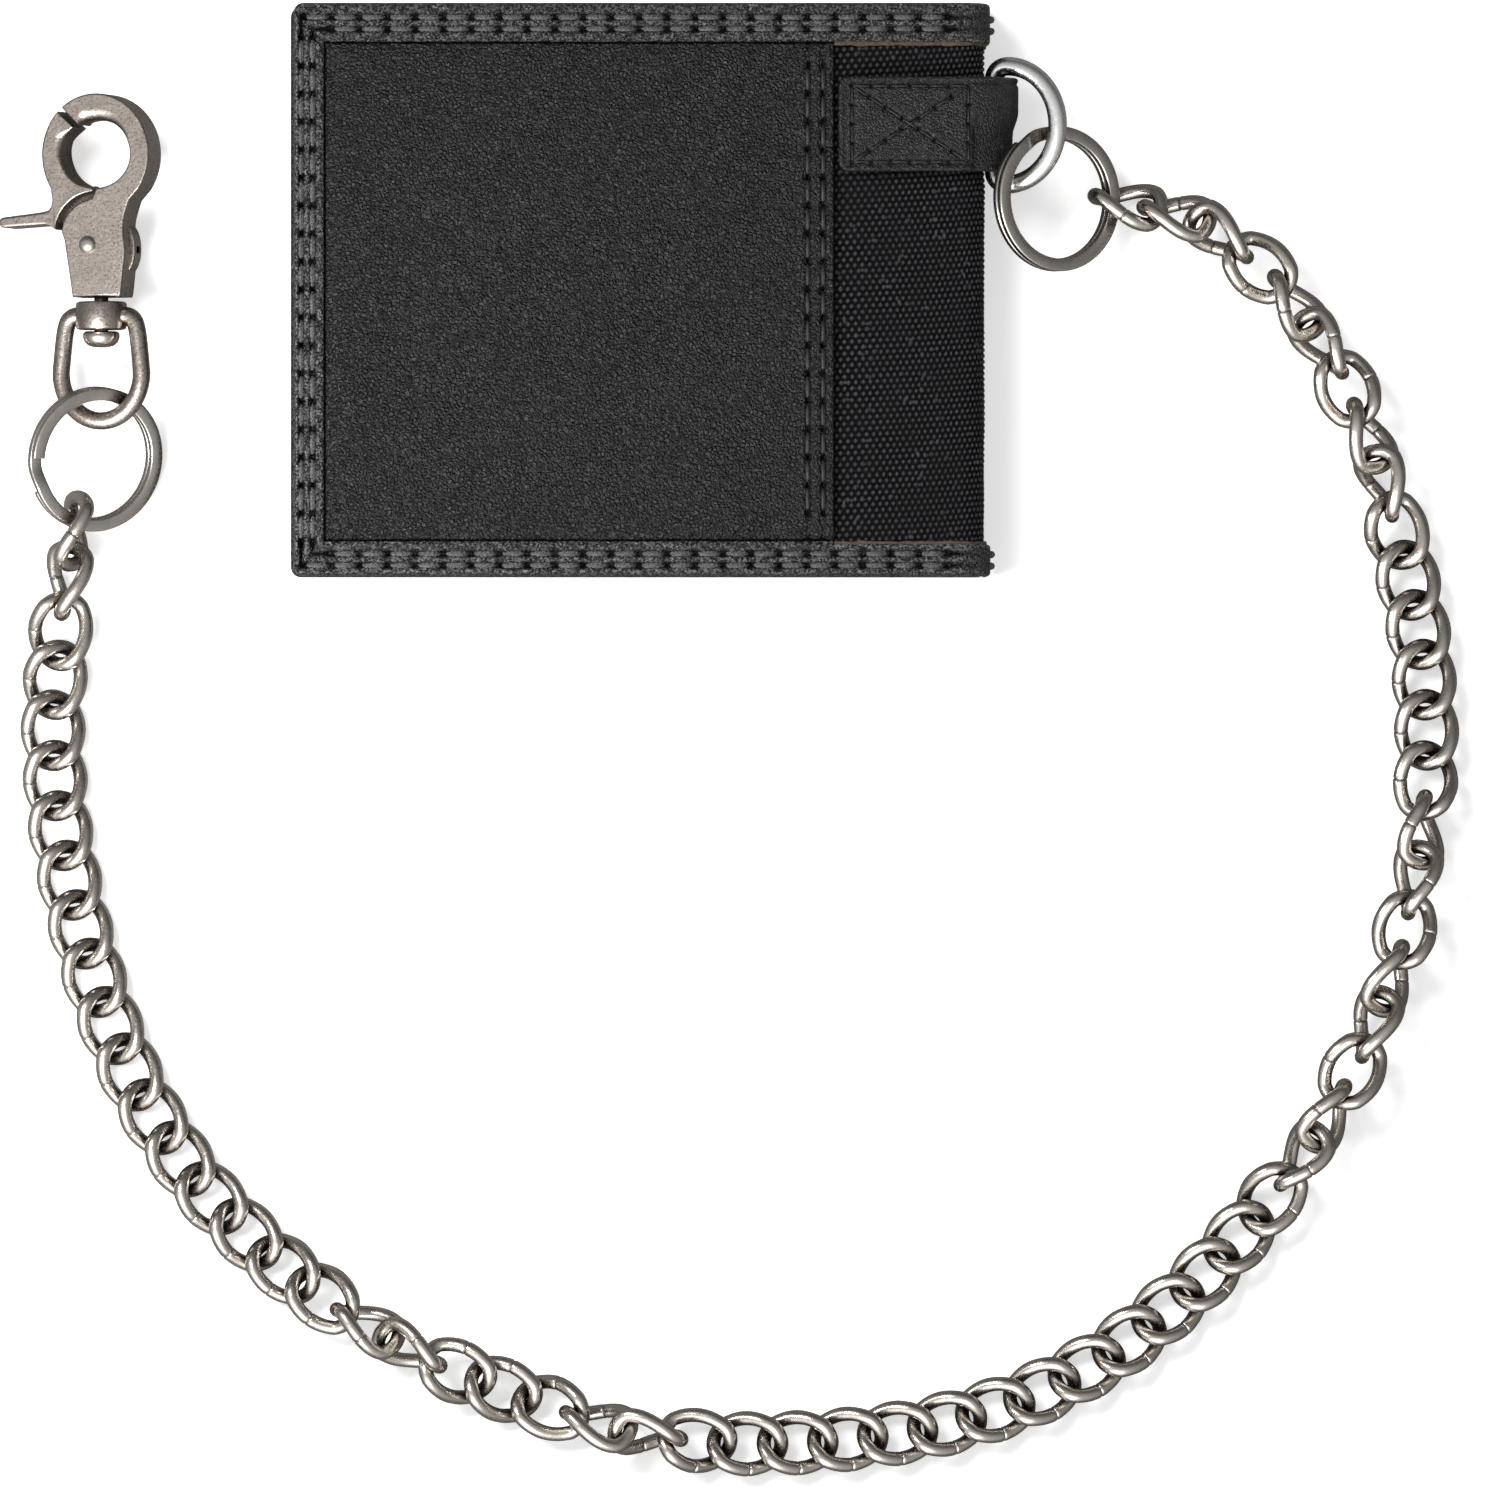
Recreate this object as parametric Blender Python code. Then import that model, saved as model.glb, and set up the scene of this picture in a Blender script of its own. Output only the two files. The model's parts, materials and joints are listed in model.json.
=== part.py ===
"""Bifold wallet on a curb chain, with a D-ring, two split rings and a swivelling trigger snap hook.

The closed wallet lies on its back at the origin: +X towards the spine, +Y towards the top edge, +Z up.
Lengths below are in millimetres and angles in degrees; MM turns them into Blender's metres.
"""

import math

import bmesh
import bpy
import numpy as np
from mathutils import Matrix, Vector

MM = 0.001
GAP = 0.3

# Wallet: outline, the layers of its two halves and the fold.
HALF_WIDTH = 53.8
HALF_HEIGHT = 44.6
CORNER = 1.6
BACK_OVERHANG = 0.8
BORDER = 4.9
PANEL_RIGHT = 30.2
PANEL_TOP = HALF_HEIGHT - 6.2
PANEL_BOTTOM = -HALF_HEIGHT + 5.6
WINDOW_BOTTOM = -HALF_HEIGHT + 5.0
SPINE_X = 53.1
FOLD_X, FOLD_Z = 53.2, 16.0
LAYERS = {
    "back_cover": (0.0, 1.2),
    "back_lining": (1.5, 1.9),
    "back_inner_panel": (2.9, 3.4),
    "front_inner_panel": (9.9, 10.4),
    "front_lining": (11.4, 11.8),
    "front_canvas": (12.1, 12.6),
    "front_frame": (12.9, 14.0),
    "front_padded_panel": (12.9, 14.6),
    "tab_base": (14.3, 15.6),
    "spine": (1.5, 11.8),
}
COVER_CLEAR = 20.0
CANVAS_THICK = 1.0
BAND_LEATHER = 0.6
INSIDE = (-52.0, 51.0, -43.4)
LINING_TOP, INNER_TOP = 42.0, 41.0
POCKET = (-51.0, 49.0, -43.0)
POCKET_TOPS = (24.0, 12.0, 0.0)
POCKET_LEATHER, POCKET_STEP = 0.5, 0.85

# Tab that holds the D-ring.
TAB_Y = 25.7
TAB_HALF = 7.45
TAB_LEFT = 31.0
TAB_LEATHER = 1.3
BAR_X, BAR_Z = 55.2, 8.6
BAR_ROOM = 1.75

# Rings.
D_WIRE = 1.45
D_HALF_HEIGHT = 9.2
D_CORNER = 2.2
D_DEPTH = 10.6
D_TILT = 23.0
SPLIT_RADIUS = 10.3
SPLIT_WIDTH = 2.0
COIL_PITCH = 1.2
COIL_GAP = 0.08
COIL_TURN = 690.0
WALLET_RING_AT, WALLET_RING_LEAN = (65.0, 14.3, 9.15), 33.0
HOOK_RING_AT, HOOK_RING_LEAN, HOOK_RING_TIP = (-84.9, -26.2, 7.4), 30.0, 8.0
D_RING_TOUCH = -40.0
CHAIN_START, CHAIN_END, EYE_TOUCH = 2.0, -107.0, 90.0

# Chain: links in fused twos, and the lazy curve that the chain lies in.
LINK_WIRE = 1.0
LINK_HALF_LENGTH = 5.35
LINK_HALF_WIDTH = 4.0
LINK_TWIST = 74.0
ROLL_STEP = 60.0
IN_PAIR_PITCH = 8.75
PAIR_LENGTH = 15.69
PAIRS = 31
FIRST_ROLL, LAST_ROLL = 120.0, 90.0
TWISTED_LINKS = ((2, 10), (16, 24), (38, 40), (43, 45), (61, 62))
CURVE_CENTRE = (15.6, -73.2)
CURVE = ((49.5, 110.8), (41, 112.4), (31, 111.6), (20, 108.5), (-8, 107.2), (-35, 107.5), (-62, 109.7),
         (-90, 106.9), (-112, 105.2), (-145, 107.6), (-166, 106.4), (-190, 108.0), (-201.2, 109.6))
FLAT_LIFT = 2.6
TWISTED_LIFT = 5.9

# Snap hook, in its own frame: origin on the swivel axis where body meets eye, u right, v to the tip.
HOOK_X, HOOK_Y, HOOK_Z = -83.9, -1.2, 7.8
HOOK_ROLL = 18.0
HOOK_HALF = 3.0
MOUTH_V = 22.4
MOUTH_WIDE, MOUTH_HIGH = 4.9, 5.4
RIM_WIDE, RIM_HIGH = 9.4, 9.5
NOSE_ANGLE, JAW_ANGLE = 124.0, 131.0
PIN_U, PIN_V, PIN_RADIUS = -1.2, 8.3, 1.0
HUB_RADIUS, HUB_LAYER = 3.4, (-1.5, 0.3)
SLOT_RADIUS, SLOT_HALF = 4.2, 1.9
SPIRAL_START, SPIRAL_TURN = 84.0, 72.0
SPIRAL_WIDE, SPIRAL_NARROW = 8.4, 5.9
GATE_CLEARANCE = 0.35
BORE_CLEARANCE = 0.15
POST_RADIUS = 1.1
POST_BORE = 1.35
SPRING_RADIUS, SPRING_WIRE = 1.7, 0.16
SPRING_LAYER = (0.82, 1.57)
COLLAR_RADIUS, COLLAR = 4.0, (-4.9, -0.5)
EYE_HALF_WIDTH, EYE_WIRE = 6.7, 1.4
EYE_LAYER = (-19.1, -2.6)
HEAD_ROOM = 3.3


def material(name, colour, roughness, metallic):
    made = bpy.data.materials.new(name)
    made.use_nodes = True
    shader = made.node_tree.nodes["Principled BSDF"]
    shader.inputs["Base Color"].default_value = (*colour, 1.0)
    shader.inputs["Roughness"].default_value = roughness
    shader.inputs["Metallic"].default_value = metallic
    return made


def solid(name, vertices, faces, finish, frame=None):
    """Adds an object from vertices in millimetres in the given frame, whose place is also in millimetres."""
    mesh = bpy.data.meshes.new(name)
    mesh.from_pydata([Vector(v) * MM for v in vertices], [], faces)
    tidy = bmesh.new()
    tidy.from_mesh(mesh)
    bmesh.ops.recalc_face_normals(tidy, faces=tidy.faces)
    tidy.to_mesh(mesh)
    tidy.free()
    mesh.materials.append(finish)
    return place(name, mesh, frame)


def place(name, mesh, frame=None):
    obj = bpy.data.objects.new(name, mesh)
    bpy.context.scene.collection.objects.link(obj)
    at = (frame or Matrix.Identity(4)).copy()
    at.translation *= MM
    obj.matrix_world = at
    return obj


def hang(name, at, *pieces):
    """Parents pieces to an empty that lies on the axis of the joint that moves them."""
    pivot = bpy.data.objects.new(name, None)
    bpy.context.scene.collection.objects.link(pivot)
    pivot.location = Vector(at) * MM
    bpy.context.view_layer.update()
    for piece in pieces:
        follow(piece, pivot)


def follow(piece, leader):
    """Parents piece to leader and leaves it where it is."""
    piece.parent = leader
    piece.matrix_parent_inverse = leader.matrix_world.inverted()


def smooth(obj, angle=35.0):
    obj.data.shade_smooth()
    obj.data.set_sharp_from_angle(angle=math.radians(angle))
    return obj


def frame_at(origin, forward, up):
    """A frame whose X runs along forward and whose Z is as near to up as it can be."""
    x = Vector(forward).normalized()
    y = Vector(up).cross(x).normalized()
    z = x.cross(y)
    return Matrix.Translation(Vector(origin)) @ Matrix((x, y, z)).transposed().to_4x4()


def boolean(target, cutter, operation="DIFFERENCE"):
    cutter.hide_render = True
    cutter.display_type = "WIRE"
    follow(cutter, target)
    cut = target.modifiers.new(cutter.name, "BOOLEAN")
    cut.operation = operation
    cut.solver = "EXACT"
    cut.object = cutter


def prism(outline, low, high):
    """Vertices and faces of an outline drawn in X and Y and raised from low to high."""
    count = len(outline)
    vertices = [(x, y, low) for x, y in outline] + [(x, y, high) for x, y in outline]
    faces = [tuple(reversed(range(count))), tuple(range(count, 2 * count))]
    for i in range(count):
        j = (i + 1) % count
        faces.append((i, j, count + j, count + i))
    return vertices, faces


def arc(centre, radius_x, radius_y, start, end, steps):
    """Points along an ellipse from one angle to another, both included."""
    points = []
    for angle in np.radians(np.linspace(start, end, steps + 1)):
        points.append((centre[0] + radius_x * math.cos(angle), centre[1] + radius_y * math.sin(angle)))
    return points


def rounded(left, right, bottom, top, radius, steps=3):
    corners = ((right, top, 0), (left, top, 90), (left, bottom, 180), (right, bottom, 270))
    outline = []
    for x, y, turn in corners:
        cx = x - radius if x == right else x + radius
        cy = y - radius if y == top else y + radius
        outline += arc((cx, cy), radius, radius, turn, turn + 90, steps)
    return outline


def sweep(path, outward, section, closed):
    """Carries a section of (outward, sideways) offsets along a path."""
    points = [Vector(p) for p in path]
    count = len(points)
    sides = len(section)
    vertices = []
    for i, point in enumerate(points):
        after = points[(i + 1) % count] if closed or i < count - 1 else point
        before = points[i - 1] if closed or i > 0 else point
        along = (after - before).normalized()
        out = Vector(outward[i])
        out = (out - out.dot(along) * along).normalized()
        across = along.cross(out)
        vertices += [point + a * out + b * across for a, b in section]
    faces = []
    for i in range(count if closed else count - 1):
        here, there = i * sides, (i + 1) % count * sides
        for k in range(sides):
            n = (k + 1) % sides
            faces.append((here + k, here + n, there + n, there + k))
    if not closed:
        faces.append(tuple(range(sides)))
        faces.append(tuple(reversed(range((count - 1) * sides, count * sides))))
    return vertices, faces


def round_section(radius, sides):
    return [(radius * math.cos(a), radius * math.sin(a)) for a in np.arange(sides) * 2 * math.pi / sides]


def plate(name, box, layer, finish, radius=CORNER):
    """A flat panel: box is left, right, bottom, top, and layer is its lowest and highest Z."""
    return solid(name, *prism(rounded(*box, radius), *layer), finish)


def cut_box(target, name, box, finish):
    """Cuts a sharp-cornered opening right through a plate, whatever its layer."""
    left, right, bottom, top = box
    outline = ((right, top), (left, top), (left, bottom), (right, bottom))
    boolean(target, solid(name, *prism(outline, -1, COVER_CLEAR), finish))


def card_pockets(side, lowest, step, leather):
    """Three stepped pockets, each a little shorter and further from the half's inner panel than the last."""
    made = []
    for i, top in enumerate(POCKET_TOPS):
        low = lowest + step * i
        layer = (low, low + POCKET_LEATHER)
        made.append(plate(f"{side}_card_pocket_{i + 1}", (*POCKET, top), layer, leather, CORNER / 2))
    return made


def inner_layers(side, leather, lining):
    """The lining and the panel that make the bill compartment of one half."""
    lined = plate(f"{side}_lining", (*INSIDE, LINING_TOP), LAYERS[f"{side}_lining"], lining)
    inner = plate(f"{side}_inner_panel", (*INSIDE, INNER_TOP), LAYERS[f"{side}_inner_panel"], leather)
    return [lined, inner]


def back_half(leather, lining):
    """The half that lies on the table, with its bill compartment and card pockets."""
    outline = (-HALF_WIDTH - BACK_OVERHANG, SPINE_X, -HALF_HEIGHT, HALF_HEIGHT)
    plate("back_cover", outline, LAYERS["back_cover"], leather)
    inner_layers("back", leather, lining)
    card_pockets("back", LAYERS["back_inner_panel"][1] + GAP, POCKET_STEP, leather)


def front_frame(leather):
    """The leather border on three sides. It is open towards the fold, for the panel and the bare canvas."""
    outline = (-HALF_WIDTH, SPINE_X, -HALF_HEIGHT, HALF_HEIGHT)
    frame = plate("front_frame", outline, LAYERS["front_frame"], leather)
    opening = (-HALF_WIDTH + BORDER - GAP, SPINE_X + CORNER, WINDOW_BOTTOM, PANEL_TOP + GAP)
    cut_box(frame, "opening_cutter", opening, leather)
    return frame


def front_half(leather, canvas, lining):
    """The half that opens: a leather frame round a padded panel and bare canvas, and the sewn tab."""
    made = [front_frame(leather)]
    panel = (-HALF_WIDTH + BORDER, PANEL_RIGHT, PANEL_BOTTOM, PANEL_TOP)
    made.append(plate("front_padded_panel", panel, LAYERS["front_padded_panel"], leather, CORNER / 2))
    sheet = (-HALF_WIDTH + 1.2, SPINE_X, -HALF_HEIGHT + 0.8, HALF_HEIGHT - 0.8)
    made.append(plate("front_canvas", sheet, LAYERS["front_canvas"], canvas))
    made += inner_layers("front", leather, lining)
    first_pocket = LAYERS["front_inner_panel"][0] - GAP - POCKET_LEATHER
    made += card_pockets("front", first_pocket, -POCKET_STEP, leather)
    tab = (TAB_LEFT, FOLD_X - 0.2, TAB_Y - TAB_HALF, TAB_Y + TAB_HALF)
    made.append(plate("tab_base", tab, LAYERS["tab_base"], leather, 1.2))
    hang("fold", (FOLD_X, 0, FOLD_Z), *made)


def spine(leather, canvas):
    """The canvas side of the fold, with the border's leather carried round both of its ends."""
    layer = LAYERS["spine"]
    sheet = (SPINE_X - CANVAS_THICK, SPINE_X, -HALF_HEIGHT + 0.4, HALF_HEIGHT - 0.4)
    plate("spine_canvas", sheet, layer, canvas, GAP)
    band = (SPINE_X + GAP, SPINE_X + GAP + BAND_LEATHER)
    plate("spine_band_upper", (*band, PANEL_TOP, HALF_HEIGHT), layer, leather, 0.2)
    plate("spine_band_lower", (*band, -HALF_HEIGHT, WINDOW_BOTTOM), layer, leather, 0.2)


def tab_loop(leather):
    """The tab's free end, folded round the bar of the D-ring. Its profile is drawn in X and Z."""
    left, turn = SPINE_X + GAP + 0.1, BAR_X + BAR_ROOM * 0.4
    outer = BAR_ROOM + TAB_LEATHER
    profile = [(left, -outer)] + arc((turn, 0), outer, outer, -90, 90, 8) + [(left, outer), (left, BAR_ROOM)]
    profile += arc((turn, 0), BAR_ROOM, BAR_ROOM, 90, -90, 8) + [(left, -BAR_ROOM)]
    vertices, faces = prism(profile, -TAB_HALF, TAB_HALF)
    standing = [(x, TAB_Y - y, BAR_Z + z) for x, z, y in vertices]
    smooth(solid("tab_loop", standing, faces, leather))


def d_ring_frame():
    lean = Matrix.Rotation(math.radians(-D_TILT), 4, "Y")
    return Matrix.Translation((BAR_X, TAB_Y, BAR_Z)) @ lean


def d_ring_bow(start, end, steps):
    """Points on the wire of the D's curved side, in its own frame."""
    return arc((D_CORNER, 0), D_DEPTH - D_CORNER, D_HALF_HEIGHT, start, end, steps)


def d_ring(steel):
    """A wire D whose straight bar lies on its own Y axis, in the tab's loop."""
    straight = D_HALF_HEIGHT - D_CORNER
    path = [(0, y) for y in np.linspace(-straight, straight, 4)][1:-1]
    path += arc((D_CORNER, straight), D_CORNER, D_CORNER, 180, 90, 3)
    path += d_ring_bow(90, -90, 14)[1:-1]
    path += arc((D_CORNER, -straight), D_CORNER, D_CORNER, -90, -180, 3)
    points = [(x, y, 0) for x, y in path]
    outward = [(0, 0, 1)] * len(points)
    vertices, faces = sweep(points, outward, round_section(D_WIRE, 8), True)
    smooth(solid("d_ring", vertices, faces, steel, d_ring_frame()))


def split_ring(name, nickel, frame, first_angle):
    """Flat wire wound almost twice round, stepping up one coil between its two ends."""
    steps = 46
    path, outward = [], []
    for i in range(steps + 1):
        turn = COIL_TURN * i / steps
        rise = min(max((turn - 330) / 30, 0), 1)
        a = math.radians(first_angle + turn)
        out = (math.cos(a), math.sin(a), 0)
        path.append((SPLIT_RADIUS * out[0], SPLIT_RADIUS * out[1], COIL_PITCH * (rise - 0.5)))
        outward.append(out)
    w, h = SPLIT_WIDTH / 2, (COIL_PITCH - COIL_GAP) / 2
    section = [(-w, -h), (-w, h), (w, h), (w, -h)]
    return smooth(solid(name, *sweep(path, outward, section, False), nickel, frame), 50)


def link_shape(middle, roll):
    """One oval link, twisted along its length, centred at X = middle."""
    straight = LINK_HALF_LENGTH - LINK_HALF_WIDTH * 0.9
    path, outward = [], []
    for x, y in arc((0, 0), 1, 1, 0, 360, 12)[:-1]:
        along = straight * max(-1, min(1, 1.6 * x)) + (LINK_HALF_LENGTH - straight) * x
        lean = Matrix.Rotation(math.radians(roll + LINK_TWIST / 2 * along / LINK_HALF_LENGTH), 3, "X")
        path.append(lean @ Vector((along, LINK_HALF_WIDTH * y, 0)) + Vector((middle, 0, 0)))
        outward.append(lean @ Vector((x, y, 0)))
    return sweep(path, outward, round_section(LINK_WIRE, 6), True)


def fused_pair(name, step, nickel):
    """A mesh of two interlocked links, the second rolled on by step, joined where they touch."""
    middle = PAIR_LENGTH / 2
    first = solid(name, *link_shape(middle - IN_PAIR_PITCH / 2, 0), nickel)
    second = solid(f"{name}_second", *link_shape(middle + IN_PAIR_PITCH / 2, step), nickel)
    boolean(first, second, "UNION")
    bpy.context.view_layer.update()
    mesh = bpy.data.meshes.new_from_object(first.evaluated_get(bpy.context.evaluated_depsgraph_get()))
    mesh.name = name
    bpy.data.objects.remove(first)
    bpy.data.objects.remove(second)
    return mesh


def link_roll(number):
    """A curb link lies flat; in a twisted stretch each link is rolled a sixth of a turn on from the last."""
    if number in (1, 2 * PAIRS):
        return FIRST_ROLL if number == 1 else LAST_ROLL
    turns = sum(1 for first, last in TWISTED_LINKS for link in range(first, last + 1) if link <= number)
    return (-ROLL_STEP * turns) % 180.0


def curve_radius(angle):
    """Distance of the chain from the middle of its curve, eased between the listed angles."""
    for (a, ra), (b, rb) in zip(CURVE, CURVE[1:]):
        if a >= angle >= b:
            t = (a - angle) / (a - b)
            return ra + (rb - ra) * t * t * (3 - 2 * t)
    return CURVE[-1][1]


def curve_point(angle):
    a = math.radians(angle)
    return Vector(CURVE_CENTRE) + float(curve_radius(angle)) * Vector((math.cos(a), math.sin(a)))


def walk(path, step):
    """The points of a fine path that lie one straight step apart."""
    points = [path[0]]
    for point in path:
        if (point - points[-1]).length >= step:
            points.append(point)
    return points


def chain_points(first_angle, last_angle, count):
    """Points along the curve from its first angle to its last, in count equal straight steps."""
    path = [curve_point(a) for a in np.linspace(first_angle, last_angle, 4001)]
    shortest, longest = 10.0, 20.0
    while longest - shortest > 1e-5:
        step = (shortest + longest) / 2
        if len(walk(path, step)) > count:
            shortest = step
        else:
            longest = step
    return walk(path, shortest)[:count + 1]


def split_ring_frames():
    """Frames of the wallet's ring and of the hook's ring, which both lean on what they hang from."""
    wallet_lean = Matrix.Rotation(math.radians(WALLET_RING_LEAN), 4, "Y")
    hook_lean = Matrix.Rotation(math.radians(HOOK_RING_LEAN), 4, "Y")
    hook_tip = Matrix.Rotation(math.radians(HOOK_RING_TIP), 4, "X")
    wallet = Matrix.Translation(WALLET_RING_AT) @ wallet_lean
    return wallet, Matrix.Translation(HOOK_RING_AT) @ hook_lean @ hook_tip


def on_ring(frame, angle, beyond=0.0):
    """A point on a split ring's wire, or beyond it, and the wire's direction there."""
    a = math.radians(angle)
    out = Vector((math.cos(a), math.sin(a), 0))
    return frame @ ((SPLIT_RADIUS + beyond) * out), frame.to_3x3() @ Vector((-out.y, out.x, 0))


def chain_joints():
    """The points where each fused pair hangs on the piece before it, and the end of the last pair."""
    wallet_ring, hook_ring = split_ring_frames()
    start, _ = on_ring(wallet_ring, CHAIN_START, -1.6)
    end, _ = on_ring(hook_ring, CHAIN_END, -2.4)
    flat = chain_points(CURVE[0][0], CURVE[-1][0], PAIRS - 1)
    points = [start]
    for k, point in enumerate(flat[:-1], 1):
        rolled = max(abs(math.sin(math.radians(link_roll(link)))) for link in (2 * k, 2 * k + 1))
        points.append(Vector((*point, TWISTED_LIFT if rolled > 0.1 else FLAT_LIFT)))
    return points + [end]


def chain(nickel):
    """Places each pair at the joint it hangs from. Pairs whose links are rolled alike share one mesh."""
    points = chain_joints()
    shared = {}
    for k in range(1, PAIRS + 1):
        here, there = points[k - 1], points[k]
        first_roll, second_roll = link_roll(2 * k - 1), link_roll(2 * k)
        step = (second_roll - first_roll) % 180.0
        if step not in shared:
            shared[step] = fused_pair(f"links_{step:.0f}", step, nickel)
        roll = Matrix.Rotation(math.radians(first_roll), 4, "X")
        name = f"chain_links_{2 * k - 1:02d}_{2 * k:02d}"
        smooth(place(name, shared[step], frame_at(here, there - here, (0, 0, 1)) @ roll))


def hook_frame():
    """The hook's own frame: origin on the swivel axis where body meets eye, X across, Y to the tip."""
    lean = Matrix.Rotation(math.radians(-HOOK_ROLL), 4, "Y")
    return Matrix.Translation((HOOK_X, HOOK_Y, HOOK_Z)) @ lean


def pin_frame():
    return hook_frame() @ Matrix.Translation((PIN_U, PIN_V, 0))


def spiral(inset):
    """The curved joint between body and gate, whose radius about the pin shrinks away from the mouth."""
    points = []
    for share in np.linspace(0, 1, 7):
        angle = math.radians(SPIRAL_START + SPIRAL_TURN * share)
        radius = SPIRAL_WIDE + (SPIRAL_NARROW - SPIRAL_WIDE) * share + inset
        points.append((PIN_U + radius * math.cos(angle), PIN_V + radius * math.sin(angle)))
    return points


def barrel(name, radius, start, end, finish, frame, axis="Z", sides=16):
    """A cylinder along an axis of a frame, from start to end."""
    outline = arc((0, 0), radius, radius, 0, 360, sides)[:-1]
    vertices, faces = prism(outline, start, end)
    if axis == "Y":
        vertices = [(x, z, -y) for x, y, z in vertices]
    return smooth(solid(name, vertices, faces, finish, frame))


def hook_outline():
    """The fixed jaw, up its right side, round the mouth and down the joint with the gate."""
    mouth = (0, MOUTH_V)
    right_side = [(4.6, 0), (5.2, 1.4), (6.2, 4.5), (6.1, 8.5), (5.4, 12.0), (6.3, 15.4)]
    rim = arc(mouth, RIM_WIDE, RIM_HIGH, -30, NOSE_ANGLE, 12)
    inner = arc(mouth, MOUTH_WIDE, MOUTH_HIGH, NOSE_ANGLE - 4, -88, 14)
    return [(-4.0, 0)] + right_side + rim + inner + spiral(-GATE_CLEARANCE) + [(-5.5, 9.6)]


def hook_body(nickel):
    """Fixed jaw and cheeks, slotted for the gate's hub and bored for its pin and the swivel post."""
    frame, pin = hook_frame(), pin_frame()
    body = smooth(solid("hook_body", *prism(hook_outline(), -HOOK_HALF, HOOK_HALF), nickel, frame))
    slot = arc((0, 0), SLOT_RADIUS, SLOT_RADIUS, -160, 20, 10)
    slot += [(SLOT_RADIUS, 12), (-12, 12), (-12, -1.6)]
    boolean(body, solid("hub_slot", *prism(slot, -SLOT_HALF, SLOT_HALF), nickel, pin))
    boolean(body, barrel("pin_bore", PIN_RADIUS + BORE_CLEARANCE, -5, 5, nickel, pin))
    boolean(body, barrel("post_bore", POST_BORE, -1, 2.6, nickel, frame, "Y"))
    return body


def gate_outline():
    """The moving jaw and its thumb lever, from the nose round the rim and back up the inside of the mouth."""
    mouth = (0, MOUTH_V)
    lever = [(-7.2, 15.0), (-7.8, 13.4), (-15.8, 12.7), (-15.8, 11.6), (-7.4, 11.0), (-6.2, 10.9)]
    jaw = arc(mouth, RIM_WIDE, RIM_HIGH, JAW_ANGLE, 208, 7)
    inner = arc(mouth, MOUTH_WIDE, MOUTH_HIGH, 264, JAW_ANGLE + 5, 9)
    return jaw + lever + list(reversed(spiral(0.0))) + inner


def gate(nickel):
    """Moving jaw with its thumb lever and the thin hub that turns on the pin."""
    pin = pin_frame()
    made = smooth(solid("gate", *prism(gate_outline(), -HOOK_HALF, HOOK_HALF), nickel, hook_frame()))
    hub = arc((0, 0), HUB_RADIUS, HUB_RADIUS, 175, 375, 12)
    hub += [(2.2, 6.0), (0.2, 9.2), (-5.0, 7.4), (-5.4, 4.0)]
    boolean(made, solid("gate_hub", *prism(hub, *HUB_LAYER), nickel, pin), "UNION")
    boolean(made, barrel("gate_bore", PIN_RADIUS + BORE_CLEARANCE, -5, 5, nickel, pin))
    return made


def turned(name, rings, crown, finish, frame, sides=12):
    """A solid of revolution about its frame's Z, from rings of (radius, height), closed by a crown point."""
    vertices = []
    for radius, height in rings:
        vertices += [(x, y, height) for x, y in arc((0, 0), radius, radius, 0, 360, sides)[:-1]]
    faces = [tuple(range(sides))]
    for r in range(len(rings) - 1):
        for i in range(sides):
            j = (i + 1) % sides
            a, b = r * sides, (r + 1) * sides
            faces.append((a + i, a + j, b + j, b + i))
    vertices.append((0, 0, crown))
    last = (len(rings) - 1) * sides
    for i in range(sides):
        faces.append((last + i, last + (i + 1) % sides, len(vertices) - 1))
    return smooth(solid(name, vertices, faces, finish, frame))


def gate_pin(nickel):
    """The rivet that the gate turns on, domed at its upper end."""
    head = HOOK_HALF + 0.2
    rings = [(PIN_RADIUS, -HOOK_HALF), (PIN_RADIUS, head), (1.25, head), (0.9, head + 0.45)]
    return turned("gate_pin", rings, head + 0.6, nickel, pin_frame())


def gate_spring(steel):
    """The torsion coil on the pin, beside the hub, that holds the gate shut."""
    low, high = SPRING_LAYER
    path, outward = [], []
    for share in np.linspace(0, 1, 37):
        a = 4 * math.pi * share
        out = (math.cos(a), math.sin(a), 0)
        path.append((SPRING_RADIUS * out[0], SPRING_RADIUS * out[1], low + (high - low) * share))
        outward.append(out)
    coil = sweep(path, outward, round_section(SPRING_WIRE, 5), False)
    return smooth(solid("gate_spring", *coil, steel, pin_frame()))


def swivel_eye(nickel):
    """Collar round the post, with the loop that the split ring passes through."""
    frame = hook_frame()
    collar = barrel("swivel_eye", COLLAR_RADIUS, *COLLAR, nickel, frame, "Y", 20)
    low, high = EYE_LAYER
    middle, half_height = (low + high) / 2, (high - low) / 2
    path = arc((0, middle), EYE_HALF_WIDTH, half_height, 0, -180, 12)
    path += arc((0, middle), EYE_HALF_WIDTH, half_height, 180, 0, 8)[1:-1]
    path = [(u, v, 0) for u, v in path]
    ring = sweep(path, [(0, 0, 1)] * len(path), round_section(EYE_WIRE, 8), True)
    boolean(collar, solid("eye_loop", *ring, nickel, frame), "UNION")
    boolean(collar, barrel("eye_bore", POST_BORE, -8, 3, nickel, frame, "Y"))
    boolean(collar, barrel("head_room", HEAD_ROOM, -9.0, -5.0, nickel, frame, "Y"))
    return collar


def swivel_post(nickel):
    """The rivet that the eye turns on: a shank up into the body and a mushroom head inside the eye."""
    down = hook_frame() @ Matrix.Rotation(math.radians(90), 4, "X")
    rings = [(POST_RADIUS, -2.3), (POST_RADIUS, 5.2), (2.6, 5.3), (2.8, 6.2), (2.2, 7.2)]
    return turned("swivel_post", rings, 7.6, nickel, down)


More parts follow.
